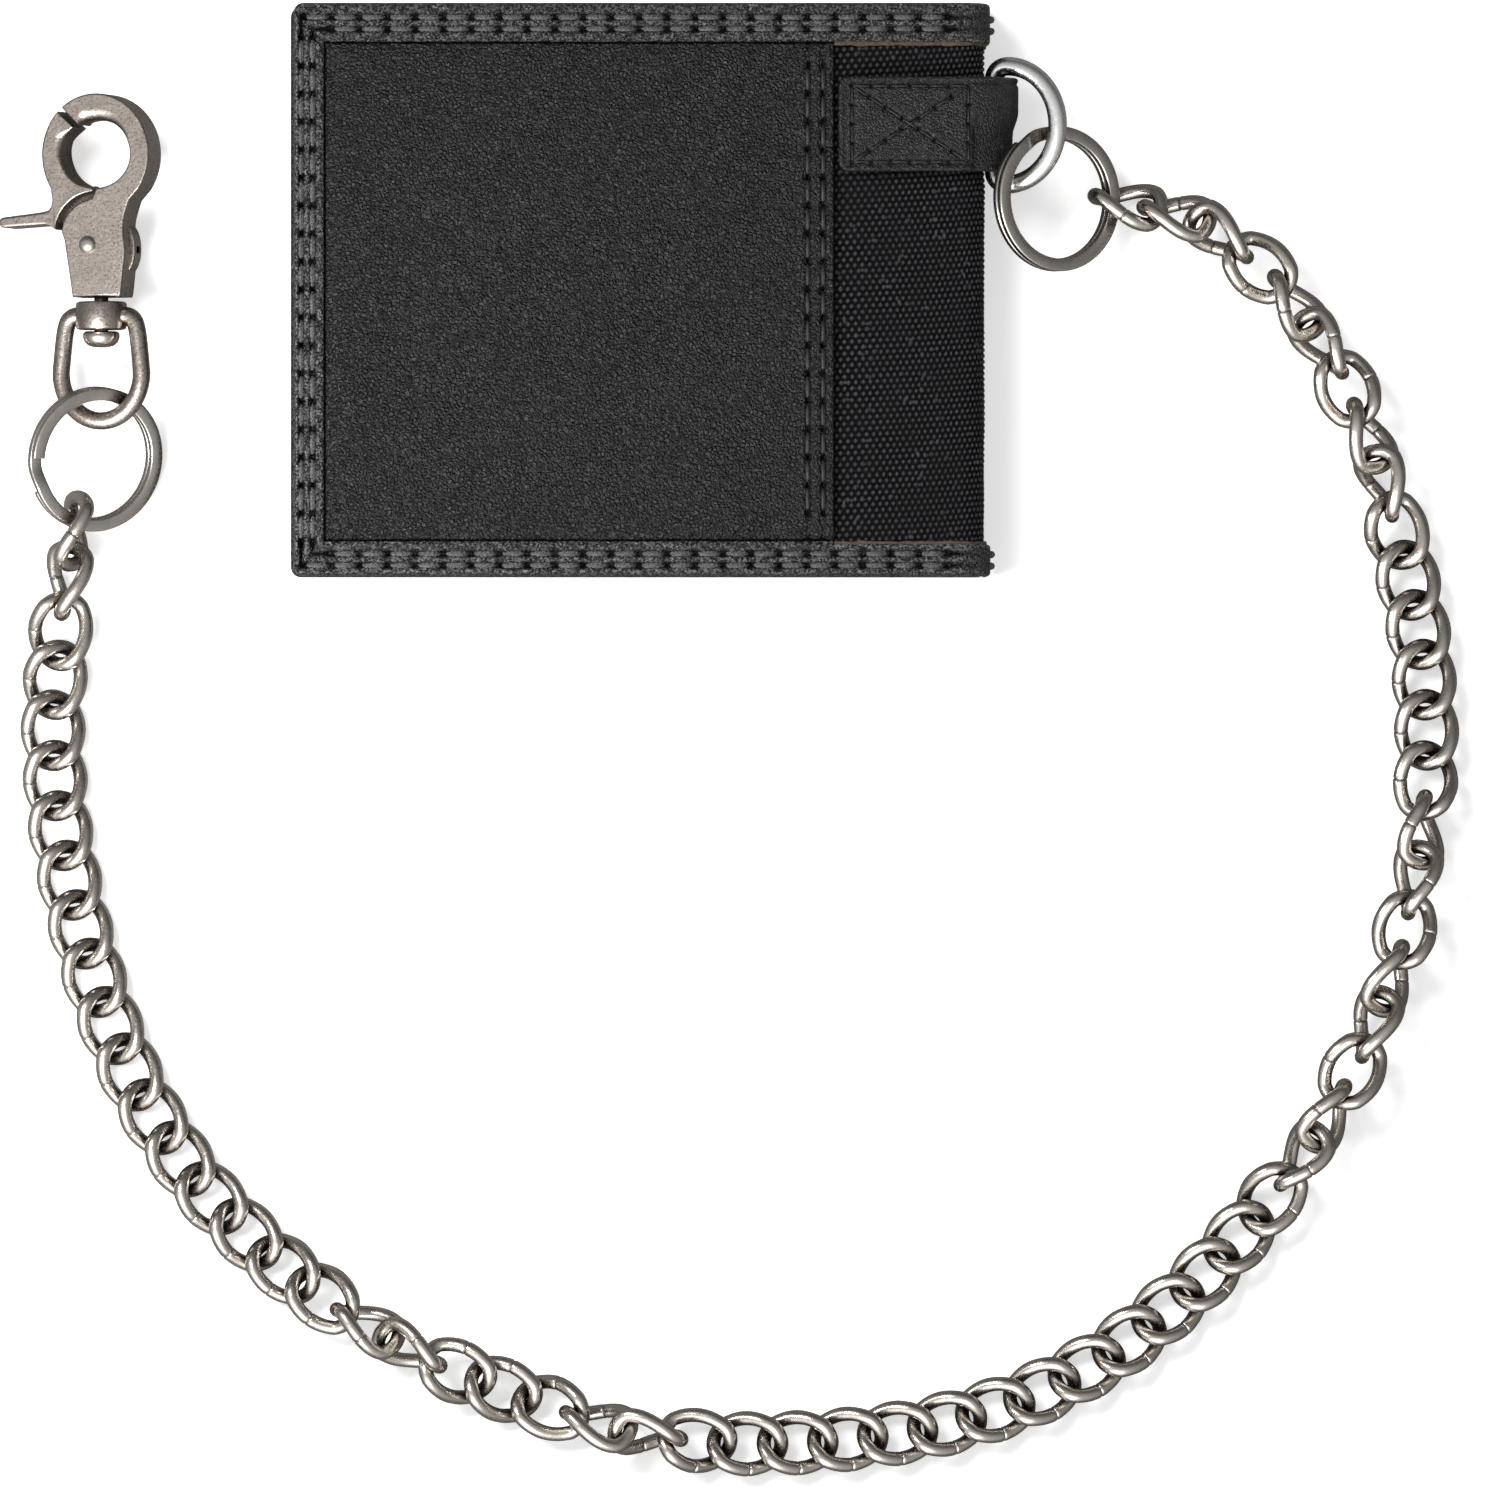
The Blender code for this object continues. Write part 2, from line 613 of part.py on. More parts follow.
def split_rings(nickel):
    """The ring on the D-ring and the ring in the hook's eye, each hung where it touches its leader."""
    wallet_ring, hook_ring = split_ring_frames()
    wallet = split_ring("split_ring_wallet", nickel, wallet_ring, 130)
    touch = d_ring_bow(D_RING_TOUCH, D_RING_TOUCH, 0)[0]
    hang("split_ring_on_d_ring", d_ring_frame() @ Vector((*touch, 0)), wallet)
    hook = split_ring("split_ring_hook", nickel, hook_ring, 205)
    hang("hook_ring_on_chain", on_ring(hook_ring, CHAIN_END)[0], hook)


def snap_hook(nickel, steel):
    """The swivelling eye, the body that turns on its post, and the sprung gate."""
    eye = swivel_eye(nickel)
    hang("eye_on_split_ring", on_ring(split_ring_frames()[1], EYE_TOUCH)[0], eye)
    body = [hook_body(nickel), swivel_post(nickel), gate_pin(nickel), gate_spring(steel)]
    hang("hook_swivel", hook_frame().translation, *body)
    hang("gate_swing", pin_frame().translation, gate(nickel))


def build():
    for obj in list(bpy.data.objects):
        bpy.data.objects.remove(obj)
    leather = material("black leather", (0.018, 0.017, 0.018), 0.42, 0.0)
    canvas = material("charcoal canvas", (0.022, 0.023, 0.026), 0.85, 0.0)
    lining = material("black lining", (0.012, 0.012, 0.013), 0.7, 0.0)
    nickel = material("antique nickel", (0.36, 0.33, 0.30), 0.33, 1.0)
    steel = material("bright nickel", (0.68, 0.68, 0.66), 0.22, 1.0)
    back_half(leather, lining)
    front_half(leather, canvas, lining)
    spine(leather, canvas)
    tab_loop(leather)
    d_ring(steel)
    split_rings(nickel)
    chain(nickel)
    snap_hook(nickel, steel)


build()
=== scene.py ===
"""Looks of the chain wallet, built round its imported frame.

Shapes are drawn in millimetres and turned into metres as each mesh is made. Places come from the frame's
joints and boxes. The closed wallet lies on its back: +X towards the spine, +Y towards the top edge, +Z up.
"""

import json
import math

import bmesh
import bpy
import numpy as np
from mathutils import Matrix, Vector

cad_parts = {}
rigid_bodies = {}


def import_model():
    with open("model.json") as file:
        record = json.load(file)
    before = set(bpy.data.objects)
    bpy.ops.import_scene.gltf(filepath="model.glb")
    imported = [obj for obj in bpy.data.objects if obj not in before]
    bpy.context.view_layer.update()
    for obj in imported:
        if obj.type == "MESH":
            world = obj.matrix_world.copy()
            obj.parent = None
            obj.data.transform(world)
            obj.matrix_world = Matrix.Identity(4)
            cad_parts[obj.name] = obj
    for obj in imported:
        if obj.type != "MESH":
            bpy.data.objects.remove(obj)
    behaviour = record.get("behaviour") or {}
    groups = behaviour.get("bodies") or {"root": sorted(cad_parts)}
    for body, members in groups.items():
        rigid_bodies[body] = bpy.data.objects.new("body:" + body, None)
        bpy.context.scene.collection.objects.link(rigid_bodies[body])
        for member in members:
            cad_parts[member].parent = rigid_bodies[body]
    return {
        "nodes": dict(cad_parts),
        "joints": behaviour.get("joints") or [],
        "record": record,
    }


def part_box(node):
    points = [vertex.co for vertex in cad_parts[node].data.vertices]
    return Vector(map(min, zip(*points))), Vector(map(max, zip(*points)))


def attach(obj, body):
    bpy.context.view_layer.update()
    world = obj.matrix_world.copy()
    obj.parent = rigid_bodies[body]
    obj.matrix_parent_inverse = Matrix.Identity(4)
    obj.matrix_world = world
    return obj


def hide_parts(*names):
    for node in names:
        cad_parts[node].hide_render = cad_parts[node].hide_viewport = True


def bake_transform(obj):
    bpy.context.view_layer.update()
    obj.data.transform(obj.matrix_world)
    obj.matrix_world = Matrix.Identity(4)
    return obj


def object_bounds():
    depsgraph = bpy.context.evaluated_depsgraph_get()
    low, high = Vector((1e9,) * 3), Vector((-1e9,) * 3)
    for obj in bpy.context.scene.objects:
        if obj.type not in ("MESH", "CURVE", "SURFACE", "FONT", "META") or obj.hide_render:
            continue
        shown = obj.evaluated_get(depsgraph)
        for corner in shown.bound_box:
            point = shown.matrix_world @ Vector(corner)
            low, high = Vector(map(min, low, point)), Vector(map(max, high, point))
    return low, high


MM = 0.001
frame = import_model()
cad_low, cad_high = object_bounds()
JOINTS = {joint["name"]: joint for joint in frame["joints"]}
SEED = 7

# Links as they are forged: centre line and wire, and the stretches where the chain is rolled over.
LINK_WIRE = 1.13
LINK_HALF_LENGTH, LINK_HALF_WIDTH = 5.3, 4.0
LINK_TWIST = 74.0
LINK_SPACING = 7.85
ROLL_STEP = 60.0
FIRST_ROLL, LAST_ROLL = 120.0, 90.0
TWISTED_LINKS = ((2, 10), (16, 24), (38, 40), (43, 45), (61, 62))

# Split rings and D-ring.
RING_RADIUS, RING_WIDTH = 10.3, 2.0
COIL_PITCH, COIL_THICK = 1.2, 1.14
COIL_TURN, COIL_STEP_AT, COIL_STEP = 690.0, 335.0, 24.0
D_WIRE = 1.45
D_HALF_HEIGHT, D_CORNER, D_DEPTH = 9.2, 2.2, 10.6

# Snap hook, in its own frame: origin where body meets eye, u across, v to the tip, w up out of its face.
HOOK_HALF = 3.0
MOUTH = (0.0, 22.4)
MOUTH_WIDE, MOUTH_HIGH = 5.8, 5.3
RIM_WIDE, RIM_HIGH = 8.9, 9.45
NOSE_ANGLE, JAW_ANGLE, SLIT_SLANT = 129.0, 134.5, 9.0
PIN = (-1.2, 8.3)
JOINT_TURN, JOINT_WIDE, JOINT_SHRINK = (84.0, 72.0), 8.4, 2.5
JOINT_GAP = 1.15
HUB, HUB_SLOT = 3.4, 4.2
PIN_HOLE, POST_HOLE = 1.15, 1.35

# Wallet outline and the layers of its outer shell.
LEFT, BOTTOM, TOP = -53.8, -44.6, 44.6
CORNER = 1.6
PANEL_LEFT, PANEL_RIGHT, PANEL_BOTTOM, PANEL_TOP = -48.9, 30.2, -39.0, 38.4
WINDOW_BOTTOM, WINDOW_TOP = -39.6, 38.4
SHELL_Z = 13.1
SPINE_OUT, SPINE_ROUND = 53.5, 3.6
SPINE_FOOT = 1.35
SHELL_END = SPINE_OUT - SPINE_ROUND + SPINE_ROUND * math.pi / 2 + SHELL_Z - SPINE_ROUND - SPINE_FOOT
EDGE_LINES = np.array([0.08, 0.2, 0.4])

# Stitching: distances of the two rows from the outer edge on each side, and where they run on the panel.
LEFT_ROWS, LOWER_ROWS, UPPER_ROWS = (1.2, 3.0), (1.7, 3.5), (2.3, 4.1)
PANEL_ROWS = (26.2, 28.6)
STITCH_PITCH = 4.35
STITCH_WIRE = 0.52
HOLE_DEEP, GROOVE_DEEP = 0.85, 0.10

# Canvas: yarn beads stand in rows like bricks.
BEAD_WIDE, BEAD_HIGH = 1.25, 0.91

# Tab: its path in X and Z is flat on the shell, then drops over the fold and round the D-ring's bar. The
# first split ring swings past a dent in the loop, which runs between two distances along the path.
TAB_Y, TAB_HALF, TAB_THICK = 25.7, 7.35, 1.25
TAB_LEFT, TAB_FLAT_END, TAB_Z = 31.0, 50.0, 15.0
TAB_CORNER, TAB_CREASE = 1.6, 0.95
DENT, DENT_TOP, DENT_START, DENT_END = 0.95, 28.0, 21.4, 31.0
BOX_LEFT, BOX_RIGHT, BOX_HALF = 2.1, 20.1, 5.9
BOX_PITCH, BOX_WIRE = 3.05, 0.2

# The studio in the metal's reflections: the way to its soft reflector, and how bright the room is round it.
REFLECTOR = (-0.25, -0.60, 0.76)
REFLECTED = ((0.0, 0.04), (0.45, 0.15), (0.68, 0.45), (0.88, 0.72), (0.94, 1.8), (1.0, 5.0))
FLOOR_DROP, FLOOR_HALF = 0.05, 3000.0
CAMERA_HEIGHT, VIEW_TALL = 2200.0, 234.0


# ---------------------------------------------------------------- meshes


def add_object(name, data):
    obj = bpy.data.objects.new(name, data)
    bpy.context.scene.collection.objects.link(obj)
    return obj


def make(name, points, faces, finish, place=None, sharp=40.0):
    """An object from points in millimetres. Place is a matrix in metres."""
    mesh = bpy.data.meshes.new(name)
    mesh.from_pydata([tuple(float(c) * MM for c in p) for p in points], [], faces)
    mesh.materials.append(finish)
    mesh.shade_smooth()
    mesh.set_sharp_from_angle(angle=math.radians(sharp))
    obj = add_object(name, mesh)
    if place is not None:
        obj.matrix_world = place
    return obj


def face_out(obj):
    """Turns every face of a closed mesh outward."""
    tidy = bmesh.new()
    tidy.from_mesh(obj.data)
    bmesh.ops.recalc_face_normals(tidy, faces=tidy.faces)
    tidy.to_mesh(obj.data)
    tidy.free()
    return obj


def solid(name, shape, finish, place=None, sharp=40.0):
    """An object from a shape, which is its points and faces, with every face turned outward."""
    return face_out(make(name, *shape, finish, place, sharp))


def apply_modifiers(obj):
    bpy.context.view_layer.update()
    graph = bpy.context.evaluated_depsgraph_get()
    mesh = bpy.data.meshes.new_from_object(obj.evaluated_get(graph))
    obj.modifiers.clear()
    obj.data = mesh
    return obj


def boolean(target, cutter, operation="DIFFERENCE"):
    """Cuts or joins the cutter at once and removes it."""
    cut = target.modifiers.new("cut", "BOOLEAN")
    cut.operation, cut.solver, cut.object = operation, "EXACT", cutter
    apply_modifiers(target)
    bpy.data.objects.remove(cutter)
    return target


def smooth(obj, angle):
    obj.data.shade_smooth()
    obj.data.set_sharp_from_angle(angle=math.radians(angle))
    return obj


def smooth_flats(obj, angle):
    """Smooth shading that leaves large flat faces looking flat beside their bevels."""
    smooth(obj, angle)
    weigh = obj.modifiers.new("weigh", "WEIGHTED_NORMAL")
    weigh.keep_sharp = True
    return apply_modifiers(obj)


def arc(centre, radius_x, radius_y, start, end, steps):
    angles = np.radians(np.linspace(start, end, steps + 1))
    return [(centre[0] + radius_x * math.cos(a), centre[1] + radius_y * math.sin(a)) for a in angles]


def prism(outline, low, high):
    count = len(outline)
    points = [(x, y, low) for x, y in outline] + [(x, y, high) for x, y in outline]
    faces = [tuple(reversed(range(count))), tuple(range(count, 2 * count))]
    faces += [(i, (i + 1) % count, count + (i + 1) % count, count + i) for i in range(count)]
    return points, faces


def rounded_plate(outline, low, high, width, steps=5):
    """A plate with an outline that runs anticlockwise, whose rims are rounded by width(x, y) millimetres."""
    corners = np.array(outline)
    before, after = corners - np.roll(corners, 1, 0), np.roll(corners, -1, 0) - corners
    inward = [np.stack([-d[:, 1], d[:, 0]], 1) / np.linalg.norm(d, axis=1)[:, None] for d in (before, after)]
    mitre = (inward[0] + inward[1]) / np.maximum(1 + (inward[0] * inward[1]).sum(1), 0.6)[:, None]
    widths = np.array([width(x, y) for x, y in outline])
    points, count = [], len(corners)
    for rim, side in ((low, -1), (high, 1)):
        turns = np.radians(np.linspace(90, 0, steps + 1))
        for turn in turns if side < 0 else turns[::-1]:
            inset = corners + mitre * (widths * (1 - math.cos(turn)))[:, None]
            points += [(x, y, rim - side * w * (1 - math.sin(turn))) for (x, y), w in zip(inset, widths)]
    rings = 2 * (steps + 1)
    faces = [tuple(reversed(range(count))), tuple(range((rings - 1) * count, rings * count))]
    for ring in range(rings - 1):
        here, there = ring * count, (ring + 1) * count
        for i in range(count):
            following = (i + 1) % count
            faces.append((here + i, here + following, there + following, there + i))
    return points, faces


def sweep(path, outward, section, closed):
    """Carries a section of (outward, sideways) offsets along a path."""
    path, outward = np.asarray(path, float), np.asarray(outward, float)
    if closed:
        along = np.roll(path, -1, 0) - np.roll(path, 1, 0)
    else:
        along = np.gradient(path, axis=0)
    along /= np.linalg.norm(along, axis=1)[:, None]
    out = outward - (outward * along).sum(1)[:, None] * along
    out /= np.linalg.norm(out, axis=1)[:, None]
    across = np.cross(along, out)
    sides = len(section)
    points = [p + a * o + b * c for p, o, c in zip(path, out, across) for a, b in section]
    count = len(path)
    faces = []
    for i in range(count if closed else count - 1):
        here, there = i * sides, (i + 1) % count * sides
        for k in range(sides):
            n = (k + 1) % sides
            faces.append((here + k, here + n, there + n, there + k))
    if not closed:
        faces.append(tuple(range(sides)))
        faces.append(tuple(reversed(range((count - 1) * sides, count * sides))))
    return points, faces


def flat_wire(path, section, closed):
    """A section swept along a path of (x, y) points."""
    return sweep([(x, y, 0) for x, y in path], [(0, 0, 1)] * len(path), section, closed)


def round_section(radius, sides):
    return [(radius * math.cos(a), radius * math.sin(a)) for a in np.arange(sides) * 2 * math.pi / sides]


def flat_section(half_width, half_height, radius, steps=3):
    """A rectangle with rounded corners, as offsets outward and sideways."""
    corners = ((1, 1, 0), (-1, 1, 90), (-1, -1, 180), (1, -1, 270))
    section = []
    for a, b, turn in corners:
        centre = (a * (half_width - radius), b * (half_height - radius))
        section += arc(centre, radius, radius, turn, turn + 90, steps)
    return section


def turned(name, profile, finish, place, sides=32):
    """A solid of revolution about its place's Z, from (radius, height) pairs; a radius of 0 closes an end."""
    points, faces, rings = [], [], []
    for radius, height in profile:
        if radius == 0:
            rings.append([len(points)])
            points.append((0, 0, height))
            continue
        rings.append(list(range(len(points), len(points) + sides)))
        points += [(x, y, height) for x, y in arc((0, 0), radius, radius, 0, 360, sides)[:-1]]
    for low, high in zip(rings, rings[1:]):
        for i in range(sides):
            j = (i + 1) % sides
            if len(low) == 1:
                faces.append((low[0], high[j], high[i]))
            elif len(high) == 1:
                faces.append((low[i], low[j], high[0]))
            else:
                faces.append((low[i], low[j], high[j], high[i]))
    return face_out(make(name, points, faces, finish, place, 50))


def smoothstep(x):
    x = np.clip(x, 0, 1)
    return x * x * (3 - 2 * x)


def ripple(x, y, length, seed):
    """Smooth unevenness between about -1 and 1, whose waves are about length long."""
    draw = np.random.default_rng(SEED + seed)
    total = 0.0
    for _ in range(9):
        heading = draw.uniform(0, math.pi)
        wave = 2 * math.pi / (length * draw.uniform(0.6, 1.7))
        phase = draw.uniform(0, 2 * math.pi)
        total = total + np.sin(wave * (x * math.cos(heading) + y * math.sin(heading)) + phase)
    return total / 4.5


def lines(*stops, step):
    """Values from the first stop to the last, with every stop met exactly and gaps of about step."""
    values = []
    for low, high in zip(stops, stops[1:]):
        values += list(np.linspace(low, high, max(1, round((high - low) / step)) + 1)[:-1])
    return np.array(values + [stops[-1]])


def sheet(name, us, vs, surface, underside, finish, keep=None, sharp=60.0):
    """A closed sheet on a grid of lines u and v. Surface and underside give the place of each grid point."""
    u, v = np.meshgrid(us, vs, indexing="ij")
    points = np.concatenate([surface(u.ravel(), v.ravel()), underside(u.ravel(), v.ravel())])
    rows, columns, count = len(us), len(vs), u.size
    held = np.ones((rows - 1, columns - 1), bool)
    if keep is not None:
        middle_u, middle_v = np.meshgrid((us[1:] + us[:-1]) / 2, (vs[1:] + vs[:-1]) / 2, indexing="ij")
        held = keep(middle_u, middle_v)
    framed = np.pad(held, 1)
    faces = []
    sides = ((-1, 0, (0, 1), (0, 0)), (1, 0, (1, 0), (1, 1)), (0, -1, (0, 0), (1, 0)), (0, 1, (1, 1), (0, 1)))
    for i, j in zip(*np.nonzero(held)):
        a, b, c, d = i * columns + j, (i + 1) * columns + j, (i + 1) * columns + j + 1, i * columns + j + 1
        faces.append((a, b, c, d))
        faces.append((count + d, count + c, count + b, count + a))
        for di, dj, first, second in sides:
            if not framed[i + 1 + di, j + 1 + dj]:
                p = (i + first[0]) * columns + j + first[1]
                q = (i + second[0]) * columns + j + second[1]
                faces.append((p, count + p, count + q, q))
    used = np.unique(np.concatenate([np.array(f) for f in faces]))
    place = np.zeros(2 * count, int)
    place[used] = np.arange(len(used))
    return face_out(make(name, points[used], [tuple(place[list(f)]) for f in faces], finish, sharp=sharp))


# ---------------------------------------------------------------- materials


class Nodes:
    """A short way to write a material's node tree."""

    def __init__(self, name):
        self.material = bpy.data.materials.new(name)
        self.material.use_nodes = True
        self.tree = self.material.node_tree
        self.shader = self.tree.nodes["Principled BSDF"]

    def add(self, kind, settings=None, **inputs):
        node = self.tree.nodes.new(kind)
        for key, value in (settings or {}).items():
            setattr(node, key, value)
        for key, value in inputs.items():
            self.feed(node.inputs[key.replace("_", " ")], value)
        return node

    def feed(self, socket, value):
        """Links a socket to another node's output, or sets its value."""
        if hasattr(value, "is_output"):
            self.tree.links.new(value, socket)
        else:
            socket.default_value = value

    def place(self):
        return self.tree.nodes.new("ShaderNodeTexCoord").outputs["Object"]

    def noise(self, size, detail=3.0, rough=0.5):
        """Noise whose blobs are about size millimetres across."""
        made = self.add("ShaderNodeTexNoise", Vector=self.place(), Scale=1 / (size * MM), Detail=detail)
        made.inputs["Roughness"].default_value = rough
        return made.outputs["Fac"]

    def cells(self, size):
        """Low at the edges of cells that are about size millimetres across."""
        edges = {"feature": "DISTANCE_TO_EDGE"}
        made = self.add("ShaderNodeTexVoronoi", edges, Vector=self.place(), Scale=1 / (size * MM))
        return made.outputs["Distance"]

    def between(self, value, low, high, start=0.0, end=1.0):
        """Maps a value from start..end onto low..high, clamped."""
        ends = {"From_Min": start, "From_Max": end, "To_Min": low, "To_Max": high}
        return self.add("ShaderNodeMapRange", Value=value, **ends).outputs["Result"]

    def maths(self, operation, first, second):
        made = self.tree.nodes.new("ShaderNodeMath")
        made.operation = operation
        for socket, value in zip(made.inputs, (first, second)):
            self.feed(socket, value)
        return made.outputs[0]

    def mixed(self, share, first, second):
        made = self.tree.nodes.new("ShaderNodeMix")
        made.data_type = "RGBA"
        for key, value in (("Factor", share), ("A", first), ("B", second)):
            socket = [s for s in made.inputs if s.name == key and s.enabled][0]
            self.feed(socket, (*value, 1.0) if isinstance(value, (tuple, list)) else value)
        return [s for s in made.outputs if s.enabled][0]

    def proudness(self):
        """High on proud edges and low in crevices."""
        return self.tree.nodes.new("ShaderNodeNewGeometry").outputs["Pointiness"]

    def shade(self, distance):
        """Low where other surfaces crowd in."""
        made = self.add("ShaderNodeAmbientOcclusion", {"samples": 6}, Distance=distance * MM)
        return made.outputs["AO"]

    def bump(self, height, depth, base=None):
        made = self.add("ShaderNodeBump", Height=height, Distance=depth * MM, Strength=1.0)
        if base is not None:
            self.tree.links.new(base, made.inputs["Normal"])
        return made.outputs["Normal"]

    def finish(self, **inputs):
        for key, value in inputs.items():
            self.feed(self.shader.inputs[key.replace("_", " ")], value)
        return self.material


def leather_material(name, shade, rough, grain, relief, wear_and_highlight=0.02):
    """Black calf: cells of a given size, slow unevenness in its sheen, ridges paled partly by scuffs and
    partly by a painted highlight, and crevices in painted black shade.
    """
    made = Nodes(name)
    # Paler ridges: proud edges get a paler colour, partly scuffed wear and partly a painted highlight.
    proudness = made.between(made.proudness(), 0, 1, 0.49, 0.57)
    open_air = made.between(made.shade(1.3), 0, 1, 0.35, 0.85)
    dark = [c * 0.6 for c in shade]
    pale = [c + wear_and_highlight for c in shade]
    colour = made.mixed(made.between(made.noise(12, 4), 0, 1, 0.35, 0.65), dark, shade)
    scuffs_and_highlights = made.maths("MULTIPLY", proudness, made.between(made.noise(grain * 0.8, 4), 0, 1, 0.45, 0.60))
    colour = made.mixed(scuffs_and_highlights, colour, pale)
    # Painted shade: the colour goes black where other surfaces crowd in, as in stitch holes and seams.
    colour = made.mixed(open_air, (0.001, 0.001, 0.001), colour)
    cells = made.bump(made.between(made.cells(grain), 0, 1, 0, 0.3), 0.16 * relief)
    pores = made.bump(made.noise(grain, 3, 0.6), 0.30 * relief, cells)
    creases = made.bump(made.noise(grain * 5, 4), 0.16 * relief, pores)
    sheen = made.between(made.noise(2.2, 5), rough - 0.06, rough + 0.10, 0.3, 0.7)
    shine = made.between(open_air, 0.04, 0.46)
    return made.finish(Base_Color=colour, Roughness=sheen, Normal=creases, Specular_IOR_Level=shine)


def canvas_material():
    """Charcoal yarn with a blue cast: hairy and matt, pale on top of each bead, with painted black shade
    between the beads.
    """
    made = Nodes("charcoal_canvas")
    fibre = made.noise(0.16, 5, 0.7)
    proud = made.between(made.proudness(), 0, 1, 0.50, 0.57)
    yarn = made.mixed(made.between(fibre, 0, 1, 0.3, 0.7), (0.026, 0.027, 0.031), (0.085, 0.087, 0.096))
    # Painted shade: the low places between the beads are coloured black.
    colour = made.mixed(proud, (0.0012, 0.0012, 0.0015), yarn)
    colour = made.mixed(made.between(made.noise(6, 3), 0, 0.4, 0.35, 0.65), colour, (0.008, 0.008, 0.009))
    return made.finish(Base_Color=colour, Roughness=0.78, Normal=made.bump(fibre, 0.12),
                       Specular_IOR_Level=0.08, Sheen_Weight=0.06, Sheen_Roughness=0.5)


def lining_material():
    """Smooth black lining cloth with a very fine twill."""
    made = Nodes("black_lining")
    bands = made.add("ShaderNodeTexWave", Vector=made.place(), Scale=1 / (2.2 * MM), Distortion=1.0)
    colour = made.mixed(bands.outputs["Fac"], (0.009, 0.009, 0.010), (0.019, 0.019, 0.021))
    normal = made.bump(bands.outputs["Fac"], 0.04)
    return made.finish(Base_Color=colour, Roughness=0.62, Normal=normal, Sheen_Weight=0.3)


def raw_edge_material():
    """Cut leather edge: brown fibres under rubbed black paint."""
    made = Nodes("raw_leather_edge")
    colour = made.mixed(made.between(made.noise(0.6, 5, 0.7), 0, 1, 0.35, 0.65),
                        (0.030, 0.022, 0.018), (0.115, 0.070, 0.045))
    return made.finish(Base_Color=colour, Roughness=0.75, Normal=made.bump(made.noise(0.25, 4), 0.08))


def thread_material(name, pale):
    """Waxed black thread, whose raised fibres are as pale as wanted: partly fuzz and partly a painted
    highlight.
    """
    made = Nodes(name)
    fibre = made.noise(0.14, 3)
    # Pale fibres in the colour: partly real fuzz, partly a painted highlight on the thread.
    colour = made.mixed(made.between(fibre, 0, 1, 0.40, 0.62), (0.004, 0.004, 0.004), (pale, pale, pale))
    return made.finish(Base_Color=colour, Roughness=0.38, Normal=made.bump(fibre, 0.12))


def metal_material(name, bright, dark, rough, grime_and_shade, speckle):
    """Plated metal with patchy tarnish, crevices blackened partly as antique darkening and partly as painted
    shade, fine brushing and, where it was cast, a speckled skin.
    """
    made = Nodes(name)
    skin = made.noise(0.4, 6, 0.62)
    tarnish = made.between(made.noise(2.6, 4), 0.0, 0.5, 0.38, 0.68)
    spots = made.between(made.noise(0.38, 4, 0.7), 0, speckle, 0.50, 0.66)
    # Crevices go black where other surfaces crowd in: partly the antique finish's darkening, partly painted
    # shade.
    crowded = made.between(made.shade(4.5), grime_and_shade, 0.0, 0.28, 0.62)
    middle = [0.6 * a + 0.4 * b for a, b in zip(bright, dark)]
    black = [0.3 * b for b in dark]
    colour = made.mixed(tarnish, bright, middle)
    colour = made.mixed(spots, colour, dark)
    colour = made.mixed(crowded, colour, black)
    roughness = made.between(skin, rough - 0.06, rough + 0.12, 0.3, 0.7)
    fine = made.bump(skin, 0.012 + 0.05 * speckle)
    waves = made.bump(made.noise(1.8, 3), 0.03, fine)
    return made.finish(Base_Color=colour, Roughness=roughness, Normal=waves, Metallic=1.0)


LEATHER = leather_material("black_leather", (0.007, 0.0068, 0.0068), 0.32, 0.66, 1.9, 0.05)
BORDER_LEATHER = leather_material("creased_black_leather", (0.008, 0.0077, 0.0077), 0.26, 0.50, 1.1, 0.22)
TAB_LEATHER = leather_material("smooth_black_leather", (0.007, 0.007, 0.0075), 0.40, 0.50, 0.8, 0.03)
POCKET_LEATHER = leather_material("black_pocket_leather", (0.011, 0.011, 0.012), 0.48, 0.6, 0.9)
CANVAS = canvas_material()
LINING = lining_material()
RAW_EDGE = raw_edge_material()
THREAD = thread_material("black_thread", 0.16)
PANEL_THREAD = thread_material("dull_black_thread", 0.035)
FINE_THREAD = thread_material("fine_black_thread", 0.008)
ANTIQUE = metal_material("antique_nickel", (0.60, 0.555, 0.505), (0.13, 0.105, 0.090), 0.22, 0.85, 0.10)
CAST = metal_material("cast_antique_nickel", (0.44, 0.39, 0.35), (0.10, 0.080, 0.068), 0.28, 0.95, 0.75)
BRIGHT = metal_material("bright_nickel", (0.92, 0.915, 0.905), (0.60, 0.57, 0.54), 0.20, 0.45, 0.02)


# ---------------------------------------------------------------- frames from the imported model


def joint_at(name):
    """A joint's point in millimetres and its unit axis, at rest."""
    joint = JOINTS[name]
    return Vector(joint["pos_m"]) / MM, Vector(joint["axis"]).normalized()


def axes_at(origin, x, z):
    """A placing matrix in metres, from an origin in millimetres, an X direction and a direction near Z."""
    x = Vector(x).normalized()
    y = Vector(z).cross(x).normalized()
    return Matrix.Translation(Vector(origin) * MM) @ Matrix((x, y, x.cross(y))).transposed().to_4x4()


def flat_frame(node):
    """The frame of a flat, ring-like node: its middle, its plane's normal as Z and X towards the world's."""
    points = np.array([v.co for v in frame["nodes"][node].data.vertices])
    low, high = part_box(node)
    normal = Vector(np.linalg.svd(points - points.mean(0), full_matrices=False)[2][2])
    normal = normal if normal.z > 0 else -normal
    across = Vector((1, 0, 0)) - normal.x * normal
    return axes_at((low + high) / 2 / MM, across, normal)


def hook_frame():
    origin, along = joint_at("hook_swivel")
    _, up = joint_at("gate_swing")
    return axes_at(origin, along.cross(up), up)


# ---------------------------------------------------------------- rings and chain


def settle(obj, body, slot, *nodes):
    """Puts a finished piece on its body, in place of CAD nodes."""
    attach(obj, body)
    if nodes:
        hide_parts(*nodes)
    return obj


